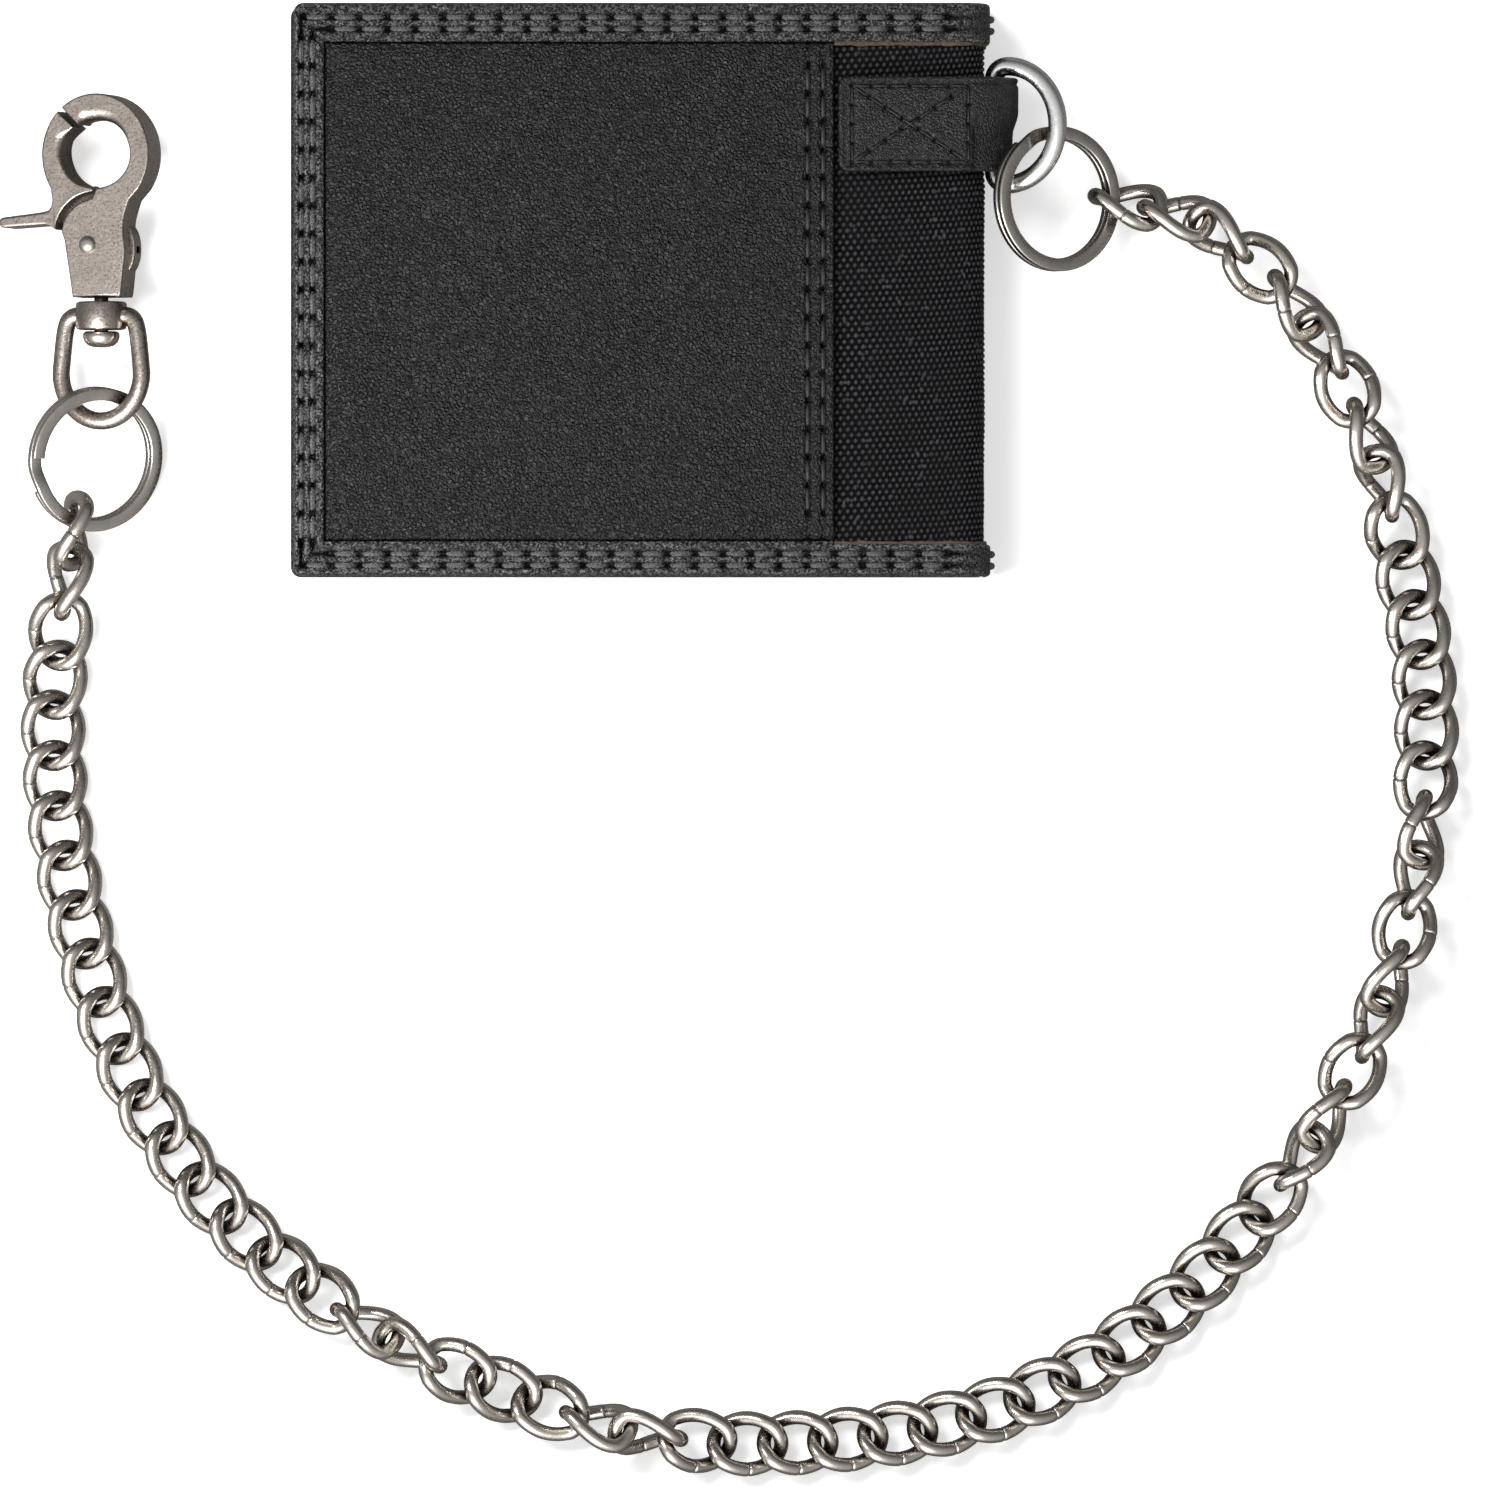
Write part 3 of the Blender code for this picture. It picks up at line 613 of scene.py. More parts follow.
def d_ring():
    """Polished wire D, whose bar lies in the tab's loop."""
    low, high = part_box("d_ring")
    bar, _ = joint_at("d_ring_in_tab")
    tilt = math.asin(((high.z - low.z) / MM - 2 * D_WIRE) / D_DEPTH)
    straight = D_HALF_HEIGHT - D_CORNER
    path = [(0, y) for y in np.linspace(-straight, straight, 12)][:-1]
    path += arc((D_CORNER, straight), D_CORNER, D_CORNER, 180, 90, 10)[:-1]
    path += arc((D_CORNER, 0), D_DEPTH - D_CORNER, D_HALF_HEIGHT, 90, -90, 56)[:-1]
    path += arc((D_CORNER, -straight), D_CORNER, D_CORNER, -90, -180, 10)[:-1]
    wire = flat_wire(path, round_section(D_WIRE, 20), True)
    place = axes_at(bar, (math.cos(tilt), 0, math.sin(tilt)), (-math.sin(tilt), 0, math.cos(tilt)))
    settle(solid("d_ring_wire", wire, BRIGHT, place), "d_ring", "bright_nickel", "d_ring")


def split_ring(node, body, first_angle):
    """Flat wire wound nearly twice round, with softened edges and a step between its two coils."""
    path, outward = [], []
    steps = 190
    for i in range(steps + 1):
        turn = COIL_TURN * i / steps
        rise = smoothstep((turn - COIL_STEP_AT) / COIL_STEP)
        a = math.radians(first_angle + turn)
        wave = 0.03 * math.sin(3 * a)
        out = (math.cos(a), math.sin(a), 0)
        path.append(((RING_RADIUS + wave) * out[0], (RING_RADIUS + wave) * out[1], COIL_PITCH * (rise - 0.5)))
        outward.append(out)
    coil = sweep(path, outward, flat_section(RING_WIDTH / 2, COIL_THICK / 2, 0.28), False)
    settle(solid(f"{node}_coil", coil, ANTIQUE, flat_frame(node), 60), body, "antique_nickel", node)


def link_roll(number, count):
    """How far a link is rolled about the chain: twisted stretches roll on by a sixth of a turn a link."""
    if number == 1:
        return FIRST_ROLL
    if number == count:
        return LAST_ROLL
    turns = sum(1 for first, last in TWISTED_LINKS for link in range(first, last + 1) if link <= number)
    return -ROLL_STEP * turns


def link_mesh():
    """One curb link: an oval of round wire, twisted end from end, with a fine seam where its ends meet."""
    straight = LINK_HALF_LENGTH - LINK_HALF_WIDTH * 0.9
    path, outward, swell = [], [], []
    turns = sorted(list(np.linspace(0, 360, 57)[:-1]) + [90 - 2.4, 90 - 1.2, 90 + 1.2, 90 + 2.4])
    for turn in np.radians(turns):
        x, y = math.cos(turn), math.sin(turn)
        along = straight * max(-1, min(1, 1.6 * x)) + (LINK_HALF_LENGTH - straight) * x
        lean = Matrix.Rotation(math.radians(LINK_TWIST / 2 * along / LINK_HALF_LENGTH), 3, "X")
        path.append(lean @ Vector((along, LINK_HALF_WIDTH * y, 0)))
        outward.append(lean @ Vector((x, y, 0)))
        swell.append(1 - 0.16 * math.exp(-(along / 0.1) ** 2) * (y > 0))
    sides = 14
    points, faces = sweep(path, outward, round_section(LINK_WIRE, sides), True)
    for i, point in enumerate(points):
        middle = path[i // sides]
        points[i] = middle + (Vector(point) - middle) * swell[i // sides]
    link = solid("link", (points, faces), ANTIQUE)
    mesh = link.data
    bpy.data.objects.remove(link)
    return mesh


def chain():
    """Every link on its own, two to each body of the frame."""
    names = ["chain_on_wallet_ring"]
    names += sorted(name for name in JOINTS if name.startswith("chain_joint_")) + ["hook_ring_on_chain"]
    stops = [joint_at(name)[0] for name in names]
    mesh = link_mesh()
    count = 2 * (len(stops) - 1)
    for k in range(1, len(stops)):
        here, there = stops[k - 1], stops[k]
        along = (there - here).normalized()
        body = JOINTS[names[k - 1]]["child"]
        for number, side in ((2 * k - 1, -0.5), (2 * k, 0.5)):
            link = add_object(f"chain_link_{number:02d}", mesh)
            middle = (here + there) / 2 + side * LINK_SPACING * along
            roll = Matrix.Rotation(math.radians(link_roll(number, count)), 4, "X")
            link.matrix_world = axes_at(middle, along, (0, 0, 1)) @ roll
            nodes = frame["record"]["behaviour"]["bodies"][body] if side < 0 else []
            settle(link, body, "antique_nickel", *nodes)


# ---------------------------------------------------------------- snap hook


def spiral(inset, steps=18):
    """The curved joint between body and gate, whose radius about the pin shrinks away from the mouth."""
    start, turn = JOINT_TURN
    points = []
    for share in np.linspace(0, 1, steps):
        angle, radius = math.radians(start + turn * share), JOINT_WIDE - JOINT_SHRINK * share + inset
        points.append((PIN[0] + radius * math.cos(angle), PIN[1] + radius * math.sin(angle)))
    return points


def curve_through(points, steps=5):
    """A smooth curve through points (Catmull-Rom), ends included."""
    ends = [points[0]] + list(points) + [points[-1]]
    curve = []
    for a, b, c, d in zip(ends, ends[1:], ends[2:], ends[3:]):
        for t in np.linspace(0, 1, steps + 1)[:-1]:
            weights = (-t + 2 * t * t - t ** 3, 2 - 5 * t * t + 3 * t ** 3,
                       t + 4 * t * t - 3 * t ** 3, t ** 3 - t * t)
            curve.append(tuple(sum(w * p[k] for w, p in zip(weights, (a, b, c, d))) / 2 for k in (0, 1)))
    return curve + [tuple(points[-1])]


def disc_cutter(radius, low, high, place, centre=(0, 0)):
    return make("cutter", *prism(arc(centre, radius, radius, 0, 360, 40)[:-1], low, high), CAST, place)


def mouth_turn(u, v):
    """The angle of a point about the mouth, from 0 on the right, or None when it isn't on its edge."""
    x, y = u / MOUTH_WIDE, (v - MOUTH[1]) / MOUTH_HIGH
    return math.degrees(math.atan2(y, x)) % 360 if math.hypot(x, y) < 1.04 else None


def hook_body(place):
    """Fixed jaw and cheeks, slotted for the hub. Its arc is rounded off inside and its foot bevelled."""
    right = [(4.2, 0.15), (4.4, 1.6), (4.7, 4.4), (5.0, 7.4), (4.7, 10.0), (4.8, 12.3), (5.7, 15.2)]
    outline = [(-3.8, 0.15)] + curve_through(right)
    outline += arc(MOUTH, RIM_WIDE, RIM_HIGH, -36, NOSE_ANGLE, 44)
    outline += arc(MOUTH, MOUTH_WIDE, MOUTH_HIGH, NOSE_ANGLE - SLIT_SLANT, -88, 48)
    outline += spiral(-JOINT_GAP) + [(-5.1, 9.2)]

    def width(u, v):
        turn = mouth_turn(u, v)
        if turn is not None and turn < NOSE_ANGLE:
            return 0.3 + 1.5 * min(max(min((turn - 20) / 45, (NOSE_ANGLE - SLIT_SLANT - turn) / 10), 0), 1)
        return 0.5 if v < 0.4 else 0.3

    body = solid("hook_cast_body", rounded_plate(outline, -HOOK_HALF, HOOK_HALF, width), CAST, place)
    lug = rounded_plate(arc((4.0, 7.7), 1.75, 3.8, -90, 90, 18), -2.7, 0.4, lambda u, v: 0.3)
    boolean(body, solid("cutter", lug, CAST, place), "UNION")
    peephole = ((4.9, 7.0), (6.2, 7.0), (6.2, 8.1), (4.9, 8.1))
    boolean(body, solid("cutter", prism(peephole, -1.8, -0.3), CAST, place))
    slot = arc(PIN, HUB_SLOT, HUB_SLOT, -160, 20, 24) + [(PIN[0] + HUB_SLOT, PIN[1] + 12)]
    slot += [(PIN[0] - 12, PIN[1] + 12), (PIN[0] - 12, PIN[1] - 1.6)]
    boolean(body, solid("cutter", prism(slot, -1.9, 1.9), CAST, place))
    boolean(body, disc_cutter(PIN_HOLE, -5, 5, place, PIN))
    boolean(body, disc_cutter(POST_HOLE, -1, 2.6, place @ Matrix.Rotation(math.radians(-90), 4, "X")))
    settle(smooth_flats(body, 40), "hook", "antique_nickel", "hook_body")


def gate(place):
    """Moving jaw with its curved thumb lever, whose lower edge is bevelled."""
    lever = curve_through([(-7.1, 15.3), (-7.5, 14.0), (-9.0, 13.45), (-15.2, 12.75)])
    lever += arc((-15.2, 11.9), 0.85, 0.85, 90, 270, 8)[1:]
    lever += curve_through([(-15.2, 11.05), (-11.0, 11.3), (-8.0, 11.4), spiral(0.0)[-1]])[1:-1]
    outline = arc(MOUTH, RIM_WIDE, RIM_HIGH, JAW_ANGLE, 214, 24) + lever
    outline += list(reversed(spiral(0.0)))
    outline += arc(MOUTH, MOUTH_WIDE, MOUTH_HIGH, 264, JAW_ANGLE - SLIT_SLANT + 2, 34)
    thin_end = spiral(0.0)[0]

    def width(u, v):
        turn = mouth_turn(u, v)
        if turn is None and u < -7.6:
            return 0.45
        narrow = min(0.3, 0.06 + 0.08 * math.dist((u, v), thin_end))
        if turn is None:
            return narrow
        return narrow + 1.4 * min(max(min((195 - turn) / 45, (turn - JAW_ANGLE - 2) / 20), 0), 1)

    jaw = solid("gate_jaw", rounded_plate(outline, -HOOK_HALF, HOOK_HALF, width), CAST, place)
    hub = arc(PIN, HUB, HUB, 175, 375, 30)
    hub += [(PIN[0] + u, PIN[1] + v) for u, v in ((2.2, 6.0), (0.2, 9.2), (-5.0, 7.4), (-5.4, 4.0))]
    boolean(jaw, solid("cutter", prism(hub, -1.5, 0.3), CAST, place), "UNION")
    boolean(jaw, disc_cutter(PIN_HOLE, -5, 5, place, PIN))
    settle(smooth_flats(jaw, 40), "gate", "antique_nickel", "gate")


def gate_rivet(place):
    """Domed rivet that the gate turns on, peened over at both ends."""
    at = place @ Matrix.Translation((PIN[0] * MM, PIN[1] * MM, 0))
    profile = [(0, -HOOK_HALF - 0.25), (0.7, -HOOK_HALF - 0.2), (1.0, -HOOK_HALF), (1.0, HOOK_HALF)]
    profile += [(1.35, HOOK_HALF + 0.02), (1.32, HOOK_HALF + 0.25), (1.05, HOOK_HALF + 0.55)]
    profile += [(0.6, HOOK_HALF + 0.75), (0, HOOK_HALF + 0.82)]
    settle(turned("gate_rivet", profile, ANTIQUE, at), "hook", "antique_nickel", "gate_pin")


def gate_spring(place):
    """The torsion coil on the pin."""
    path, outward = [], []
    for share in np.linspace(0, 1, 97):
        a = 4 * math.pi * share
        out = (math.cos(a), math.sin(a), 0)
        path.append((PIN[0] + 1.7 * out[0], PIN[1] + 1.7 * out[1], 0.82 + 0.75 * share))
        outward.append(out)
    coil = solid("gate_spring_coil", sweep(path, outward, round_section(0.16, 8), False), BRIGHT, place)
    settle(coil, "hook", "bright_nickel", "gate_spring")


def eye_path():
    """The middle of the eye's wire: out of the collar, over a square shoulder, down and round its foot."""
    side = [(2.6, -2.75), (4.3, -2.75), (5.45, -3.5), (6.0, -5.2), (6.4, -8.4), (6.7, -11.6)]
    side = curve_through(side, 6)
    foot = arc((0, -11.6), 6.7, 7.5, 0, -180, 40)
    return side[:-1] + foot + [(-u, v) for u, v in reversed(side[:-1])]


def swivel_eye(place):
    """Turned collar with the forged loop that hangs on the split ring."""
    down = place @ Matrix.Rotation(math.radians(90), 4, "X")
    profile = [(0, 0.5), (3.5, 0.5), (3.85, 0.65), (3.98, 1.0)]
    profile += [(3.98, 4.3), (3.85, 4.7), (3.4, 4.9), (0, 4.9)]
    eye = turned("swivel_eye_forging", profile, CAST, down, 48)
    loop = flat_wire(eye_path(), round_section(1.38, 18), False)
    boolean(eye, solid("cutter", loop, CAST, place), "UNION")
    boolean(eye, disc_cutter(POST_HOLE, -3, 8, down))
    boolean(eye, disc_cutter(3.3, 5.0, 9.0, down))
    settle(smooth(eye, 40), "swivel_eye", "antique_nickel", "swivel_eye")


def swivel_post(place):
    """Shank up into the body and the mushroom head that holds the eye on."""
    down = place @ Matrix.Rotation(math.radians(90), 4, "X")
    profile = [(0, -2.3), (1.0, -2.3), (1.1, -2.1), (1.1, 5.12), (2.5, 5.15), (2.85, 5.5), (2.85, 6.1)]
    profile += [(2.6, 6.8), (2.0, 7.35), (1.1, 7.6), (0, 7.66)]
    settle(turned("swivel_rivet", profile, ANTIQUE, down, 40), "hook", "antique_nickel", "swivel_post")


def snap_hook():
    place = hook_frame()
    hook_body(place)
    gate(place)
    gate_rivet(place)
    gate_spring(place)
    swivel_eye(place)
    swivel_post(place)


# ---------------------------------------------------------------- wallet


def disc_corners(u, v, left, bottom, top, radius):
    """Moves the points near the two left-hand corners so that the sheet's corners are round."""
    x, y = u.copy(), v.copy()
    for edge, sign in ((bottom, -1), (top, 1)):
        a = (left + radius - u) / radius
        b = (v - (edge - sign * radius)) * sign / radius
        near = (a > 0) & (b > 0)
        a2, b2 = np.clip(a, 0, 1), np.clip(b, 0, 1)
        x = np.where(near, left + radius - radius * a2 * np.sqrt(1 - b2 * b2 / 2), x)
        y = np.where(near, edge + sign * radius * (b2 * np.sqrt(1 - a2 * a2 / 2) - 1), y)
    return x, y


def shell(u, v, height):
    """The wallet's outer surface: flat, round the fold and down the spine. Height is along its normal."""
    turn = SPINE_OUT - SPINE_ROUND
    bend = np.clip((u - turn) / SPINE_ROUND, 0, math.pi / 2)
    past = np.maximum(u - turn - SPINE_ROUND * math.pi / 2, 0)
    x = np.minimum(u, turn) + (SPINE_ROUND + height) * np.sin(bend)
    z = SHELL_Z - SPINE_ROUND + (SPINE_ROUND + height) * np.cos(bend) - past
    return np.stack([x, v, z], -1)


def rolled(distance, radius):
    """How far a rounded edge falls at a distance inside it."""
    inside = np.clip(distance / radius, 0, 1)
    return radius * (1 - np.sqrt(1 - (1 - inside) ** 2))


def edged(values):
    """Adds lines close to both ends, so that a rolled edge is round."""
    return np.unique(np.concatenate([values, values[0] + EDGE_LINES, values[-1] - EDGE_LINES]))


def seam(off, along):
    """How far a row of stitches pulls leather down at a distance off it: a groove with deep holes."""
    from_hole = np.abs(np.sin(math.pi * along / STITCH_PITCH)) / 0.52
    groove = GROOVE_DEEP * np.exp(-((off / 0.4) ** 2))
    return groove + HOLE_DEEP * np.exp(-((off / 0.5) ** 2) - from_hole ** 2)


def puff(across, along):
    """Leather puffed up between rows 1 apart, most of all midway between holes, and leaning like rope."""
    leaning = along + 0.9 * (across - 1.5)
    swell = np.abs(np.sin(math.pi * leaning / STITCH_PITCH)) ** 0.6
    return np.sin(math.pi * (across % 1.0)) ** 0.7 * (0.62 + 0.38 * swell)


def border_place(u, v):
    """Where points lie across the border, and along it.

    Across runs from 0 at the outer edge, through 1 and 2 at the rows of stitches, to 3 at the inner edge.
    """
    sides = ((u - LEFT, LEFT_ROWS, PANEL_LEFT - LEFT), (v - BOTTOM, LOWER_ROWS, PANEL_BOTTOM - BOTTOM),
             (TOP - v, UPPER_ROWS, TOP - PANEL_TOP))
    across = np.stack([np.interp(off, (0, *rows, width), (0, 1, 2, 3)) for off, rows, width in sides])
    return across.min(0), np.where(across.argmin(0) == 0, v, u)


def border_height(u, v):
    """The stitched border, rolled under at its outer edge."""
    across, along = border_place(u, v)
    relief = 1 - 0.95 * smoothstep((u - SPINE_OUT + 5.0) / 4.0)
    height = 0.60 + relief * 0.62 * puff(across, along)
    height += 0.5 * (1 - relief) + 0.07 * ripple(u, v, 1.3, 1) * relief + 0.05 * ripple(u, v, 9, 2)
    for row in (1, 2):
        height = height - relief * seam(1.8 * (across - row), along)
    return height - rolled(np.minimum.reduce([u - LEFT, v - BOTTOM, TOP - v]), 0.7)


def opening_inset(u, v):
    """How far inside the border's opening points lie; less than 0 is on the leather."""
    floor_edge = np.where(u < PANEL_RIGHT, PANEL_BOTTOM, WINDOW_BOTTOM)
    return np.minimum.reduce([u - PANEL_LEFT, v - floor_edge, PANEL_TOP - v])


def leather_border():
    """The stitched leather on three sides of the front; its two ends run over the fold and down the spine."""
    us = edged(lines(LEFT, PANEL_LEFT, PANEL_RIGHT, SHELL_END, step=0.3))
    vs = edged(lines(BOTTOM, WINDOW_BOTTOM, PANEL_BOTTOM, PANEL_TOP, TOP, step=0.3))

    def surface(u, v):
        height = border_height(u, v) - rolled(np.maximum(-opening_inset(u, v), 0), 0.35)
        x, y = disc_corners(u, v, LEFT, BOTTOM, TOP, CORNER)
        return shell(x, y, np.maximum(height, 0.12))

    def underside(u, v):
        x, y = disc_corners(u, v, LEFT, BOTTOM, TOP, CORNER)
        return shell(x, y, np.zeros_like(u))

    border = sheet("front_leather_border", us, vs, surface, underside, BORDER_LEATHER,
                   lambda u, v: opening_inset(u, v) < 0)
    bridge(border, "leather", "front_frame", "spine_band_upper", "spine_band_lower")


def bridge(obj, slot, *nodes):
    """Bakes a sheet that crosses the fold into world space, on neither half, in place of CAD nodes."""
    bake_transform(obj)
    if nodes:
        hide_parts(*nodes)


def panel_height(u, v):
    """A padded panel: rounded where it meets the border, crowned, and stitched down near the canvas."""
    edge = np.minimum.reduce([u - PANEL_LEFT, v - PANEL_BOTTOM, PANEL_TOP - v])
    x = (2 * u - PANEL_LEFT - PANEL_RIGHT) / (PANEL_RIGHT - PANEL_LEFT)
    y = (2 * v - PANEL_BOTTOM - PANEL_TOP) / (PANEL_TOP - PANEL_BOTTOM)
    height = 0.55 + 0.5 * (1 - np.exp(-edge / 1.2)) + 0.35 * (1 - x * x) * (1 - y * y)
    height += 0.05 * ripple(u, v, 16, 3) + 0.02 * ripple(u, v, 5, 4)
    first, second = PANEL_ROWS
    across = np.interp(u, (first - 2.6, first, second, PANEL_RIGHT), (0, 1, 2, 3))
    height += 0.20 * smoothstep(across) * puff(across, v)
    for row in PANEL_ROWS:
        height = height - 0.8 * seam(u - row, v)
    return height - rolled(edge, 0.4) - rolled(PANEL_RIGHT - u, 0.2)


def padded_panel():
    gap = 0.05
    us = edged(lines(PANEL_LEFT + gap, PANEL_ROWS[0] - 3, PANEL_RIGHT, step=0.34))
    vs = edged(lines(PANEL_BOTTOM + gap, PANEL_TOP - gap, step=0.34))

    def surface(u, v):
        return shell(u, v, np.maximum(panel_height(u, v), 0.1))

    def underside(u, v):
        return shell(u, v, np.zeros_like(u))

    panel = sheet("front_padded_leather", us, vs, surface, underside, LEATHER)
    settle(panel, "front_half", "leather", "front_padded_panel")


def weave(u, v):
    """Height of coarse canvas: oval beads of yarn in rows, each row shifted by half a bead."""
    row = np.floor(v / BEAD_HIGH)
    across = (u / BEAD_WIDE + 0.5 * (row % 2)) % 1.0 - 0.5
    up = (v / BEAD_HIGH) % 1.0 - 0.5
    bead = np.sqrt(np.maximum(0, 1 - (across / 0.46) ** 2 - (up / 0.48) ** 2))
    return 0.48 * bead + 0.08 * np.cos(4 * math.pi * across)


def canvas_sheet():
    """Coarse canvas from under the leather, out to the fold, round it and down the spine."""
    tucked = 1.4
    us = lines(PANEL_RIGHT - tucked, SHELL_END - 0.2, step=0.19)
    vs = lines(BOTTOM + 3.6, TOP - 3.0, step=0.19)

    def surface(u, v):
        edge = np.minimum.reduce([u - PANEL_RIGHT, v - WINDOW_BOTTOM, WINDOW_TOP - v])
        inside = smoothstep(edge / 0.8 + 0.6)
        squeezed = u + 0.012 * (u - PANEL_RIGHT) ** 2
        slanted = v - 0.07 * u + 0.12 * np.sin(u / 6)
        relief = weave(squeezed + 0.10 * np.sin(v / 9) + 0.08 * ripple(u, v, 3, 8), slanted)
        return shell(u, v, -0.30 + inside * (relief + 0.10 * ripple(u, v, 14, 5)))

    def underside(u, v):
        return shell(u, v, np.full_like(u, -0.62))

    canvas = sheet("canvas_window_and_spine", us, vs, surface, underside, CANVAS, sharp=80.0)
    bridge(canvas, "canvas", "front_canvas", "spine_canvas")


def raw_edges():
    """The brown cut edges of the two leather bands, above and below the canvas."""
    for name, middle in (("lower", WINDOW_BOTTOM + 0.12), ("upper", WINDOW_TOP - 0.12)):
        us, vs = lines(PANEL_RIGHT + 0.1, SHELL_END - 0.6, step=0.4), lines(-0.36, 0.36, step=0.09)

        def place(u, v, height):
            return shell(u, middle + v * (1 + 0.3 * ripple(u, 0 * v, 2.4, 9)), height)

        def surface(u, v):
            return place(u, v, 0.42 + 0.16 * np.sqrt(1 - (v / 0.37) ** 2) + 0.05 * ripple(u, 0 * v, 2.5, 6))

        def underside(u, v):
            return place(u, v, np.full_like(u, 0.02))

        bridge(sheet(f"raw_edge_{name}", us, vs, surface, underside, RAW_EDGE), "leather")


def thread_run(stitches, radius=STITCH_WIRE, rise=0.45, sink=0.2):
    """Points and faces of many short arches of twisted thread. A stitch is its two ends and the way out."""
    points, faces = [], []
    sides, steps, lay = 8, 12, 1.1
    for start, end, up in stitches:
        start, end, up = Vector(start), Vector(end), Vector(up)
        length = (end - start).length
        path = []
        for t in np.linspace(0, 1, steps + 1):
            path.append(start.lerp(end, float(t)) + (rise * math.sin(math.pi * t) ** 0.6 - sink) * up)
        across = (end - start).cross(up)
        ring, skin = sweep(path, [tuple(across)] * len(path), round_section(radius, sides), False)
        for i, point in enumerate(ring):
            step, side = divmod(i, sides)
            twist = 2 * (2 * math.pi * side / sides - 2 * math.pi * step * length / steps / lay)
            point = path[step] + (Vector(point) - path[step]) * (1 + 0.2 * math.cos(twist))
            points.append(tuple(point))
        first = len(points) - len(ring)
        faces += [tuple(i + first for i in face) for face in skin]
    return points, faces


def row_of_stitches(fixed, axis, start, end, surface):
    """The stitches between the holes of one row. Surface gives the place of u and v at a height above it."""
    stitches = []
    for hole in range(math.ceil(start / STITCH_PITCH), math.floor(end / STITCH_PITCH)):
        along, across = np.array([hole + 0.17, hole + 0.83]) * STITCH_PITCH, np.full(2, fixed)
        u, v = (across, along) if axis == "v" else (along, across)
        low, high = surface(u, v, 0.02), surface(u, v, 1.02)
        stitches.append((low[0], low[1], (high - low).mean(0)))
    return stitches


def front_stitches():
    """Two rows of thick black thread round the border and two more on the panel beside the canvas."""
    def at_middle(height, u, v):
        """The leather's height halfway between the two holes."""
        return height(np.full_like(u, u.mean()), np.full_like(v, v.mean()))

    def on_border(u, v, lift):
        return shell(u, v, at_middle(border_height, u, v) + lift)

    def on_panel(u, v, lift):
        return shell(u, v, at_middle(panel_height, u, v) + lift)

    turn = SPINE_OUT - SPINE_ROUND
    flat, bent, inner = [], [], []
    for near, low, high in zip(LEFT_ROWS, LOWER_ROWS, UPPER_ROWS):
        flat += row_of_stitches(LEFT + near, "v", BOTTOM + low, TOP - high, on_border)
        for fixed in (BOTTOM + low, TOP - high):
            flat += row_of_stitches(fixed, "u", LEFT + near, turn, on_border)
            bent += row_of_stitches(fixed, "u", SPINE_OUT, SHELL_END - 0.8, on_border)
    for fixed in PANEL_ROWS:
        inner += row_of_stitches(fixed, "v", PANEL_BOTTOM, PANEL_TOP, on_panel)
    panel_thread = make("panel_stitches", *thread_run(inner, 0.36, 0.6, 0.45), PANEL_THREAD)
    settle(panel_thread, "front_half", "leather")
    thick = {"rise": 0.75, "sink": 0.55}
    border_thread = make("front_border_stitches", *thread_run(flat, **thick), THREAD)
    settle(border_thread, "front_half", "leather")
    bridge(make("spine_band_stitches", *thread_run(bent, **thick), THREAD), "leather")


def tab_path():
    """The middle of the tab's leather as points in X and Z, half a millimetre apart or less."""
    bar, _ = joint_at("d_ring_in_tab")
    centre, radius = (bar.x + 0.7, bar.z), 2.42
    right = centre[0] + radius
    path = [(x, TAB_Z) for x in np.linspace(TAB_LEFT, TAB_FLAT_END, 64)][:-1]
    knots = ((TAB_FLAT_END, TAB_Z), (TAB_FLAT_END + 4.3, TAB_Z), (right, 11.6), (right, bar.z))
    for t in np.linspace(0, 1, 33)[:-1]:
        weights = ((1 - t) ** 3, 3 * t * (1 - t) ** 2, 3 * t * t * (1 - t), t ** 3)
        path.append(tuple(sum(w * k[i] for w, k in zip(weights, knots)) for i in (0, 1)))
    path += arc(centre, radius, radius, 0, -90, 14)
    path += [(x, centre[1] - radius) for x in np.linspace(centre[0] - 0.4, SPINE_OUT + 0.9, 5)]
    return np.array(path)


def box_runs():
    """The lines of the box and its cross: each is a list of the holes along it."""
    low, high = TAB_Y - BOX_HALF, TAB_Y + BOX_HALF
    corners = [(BOX_LEFT, low), (BOX_RIGHT, low), (BOX_RIGHT, high), (BOX_LEFT, high)]
    ends = list(zip(corners, corners[1:] + corners[:1]))
    ends += [(corners[0], corners[2]), (corners[1], corners[3])]
    runs = []
    for start, end in ends:
        start, end = np.array(start), np.array(end)
        shares = np.linspace(0, 1, round(np.linalg.norm(end - start) / BOX_PITCH) + 1)
        runs.append([start + share * (end - start) for share in shares])
    return runs


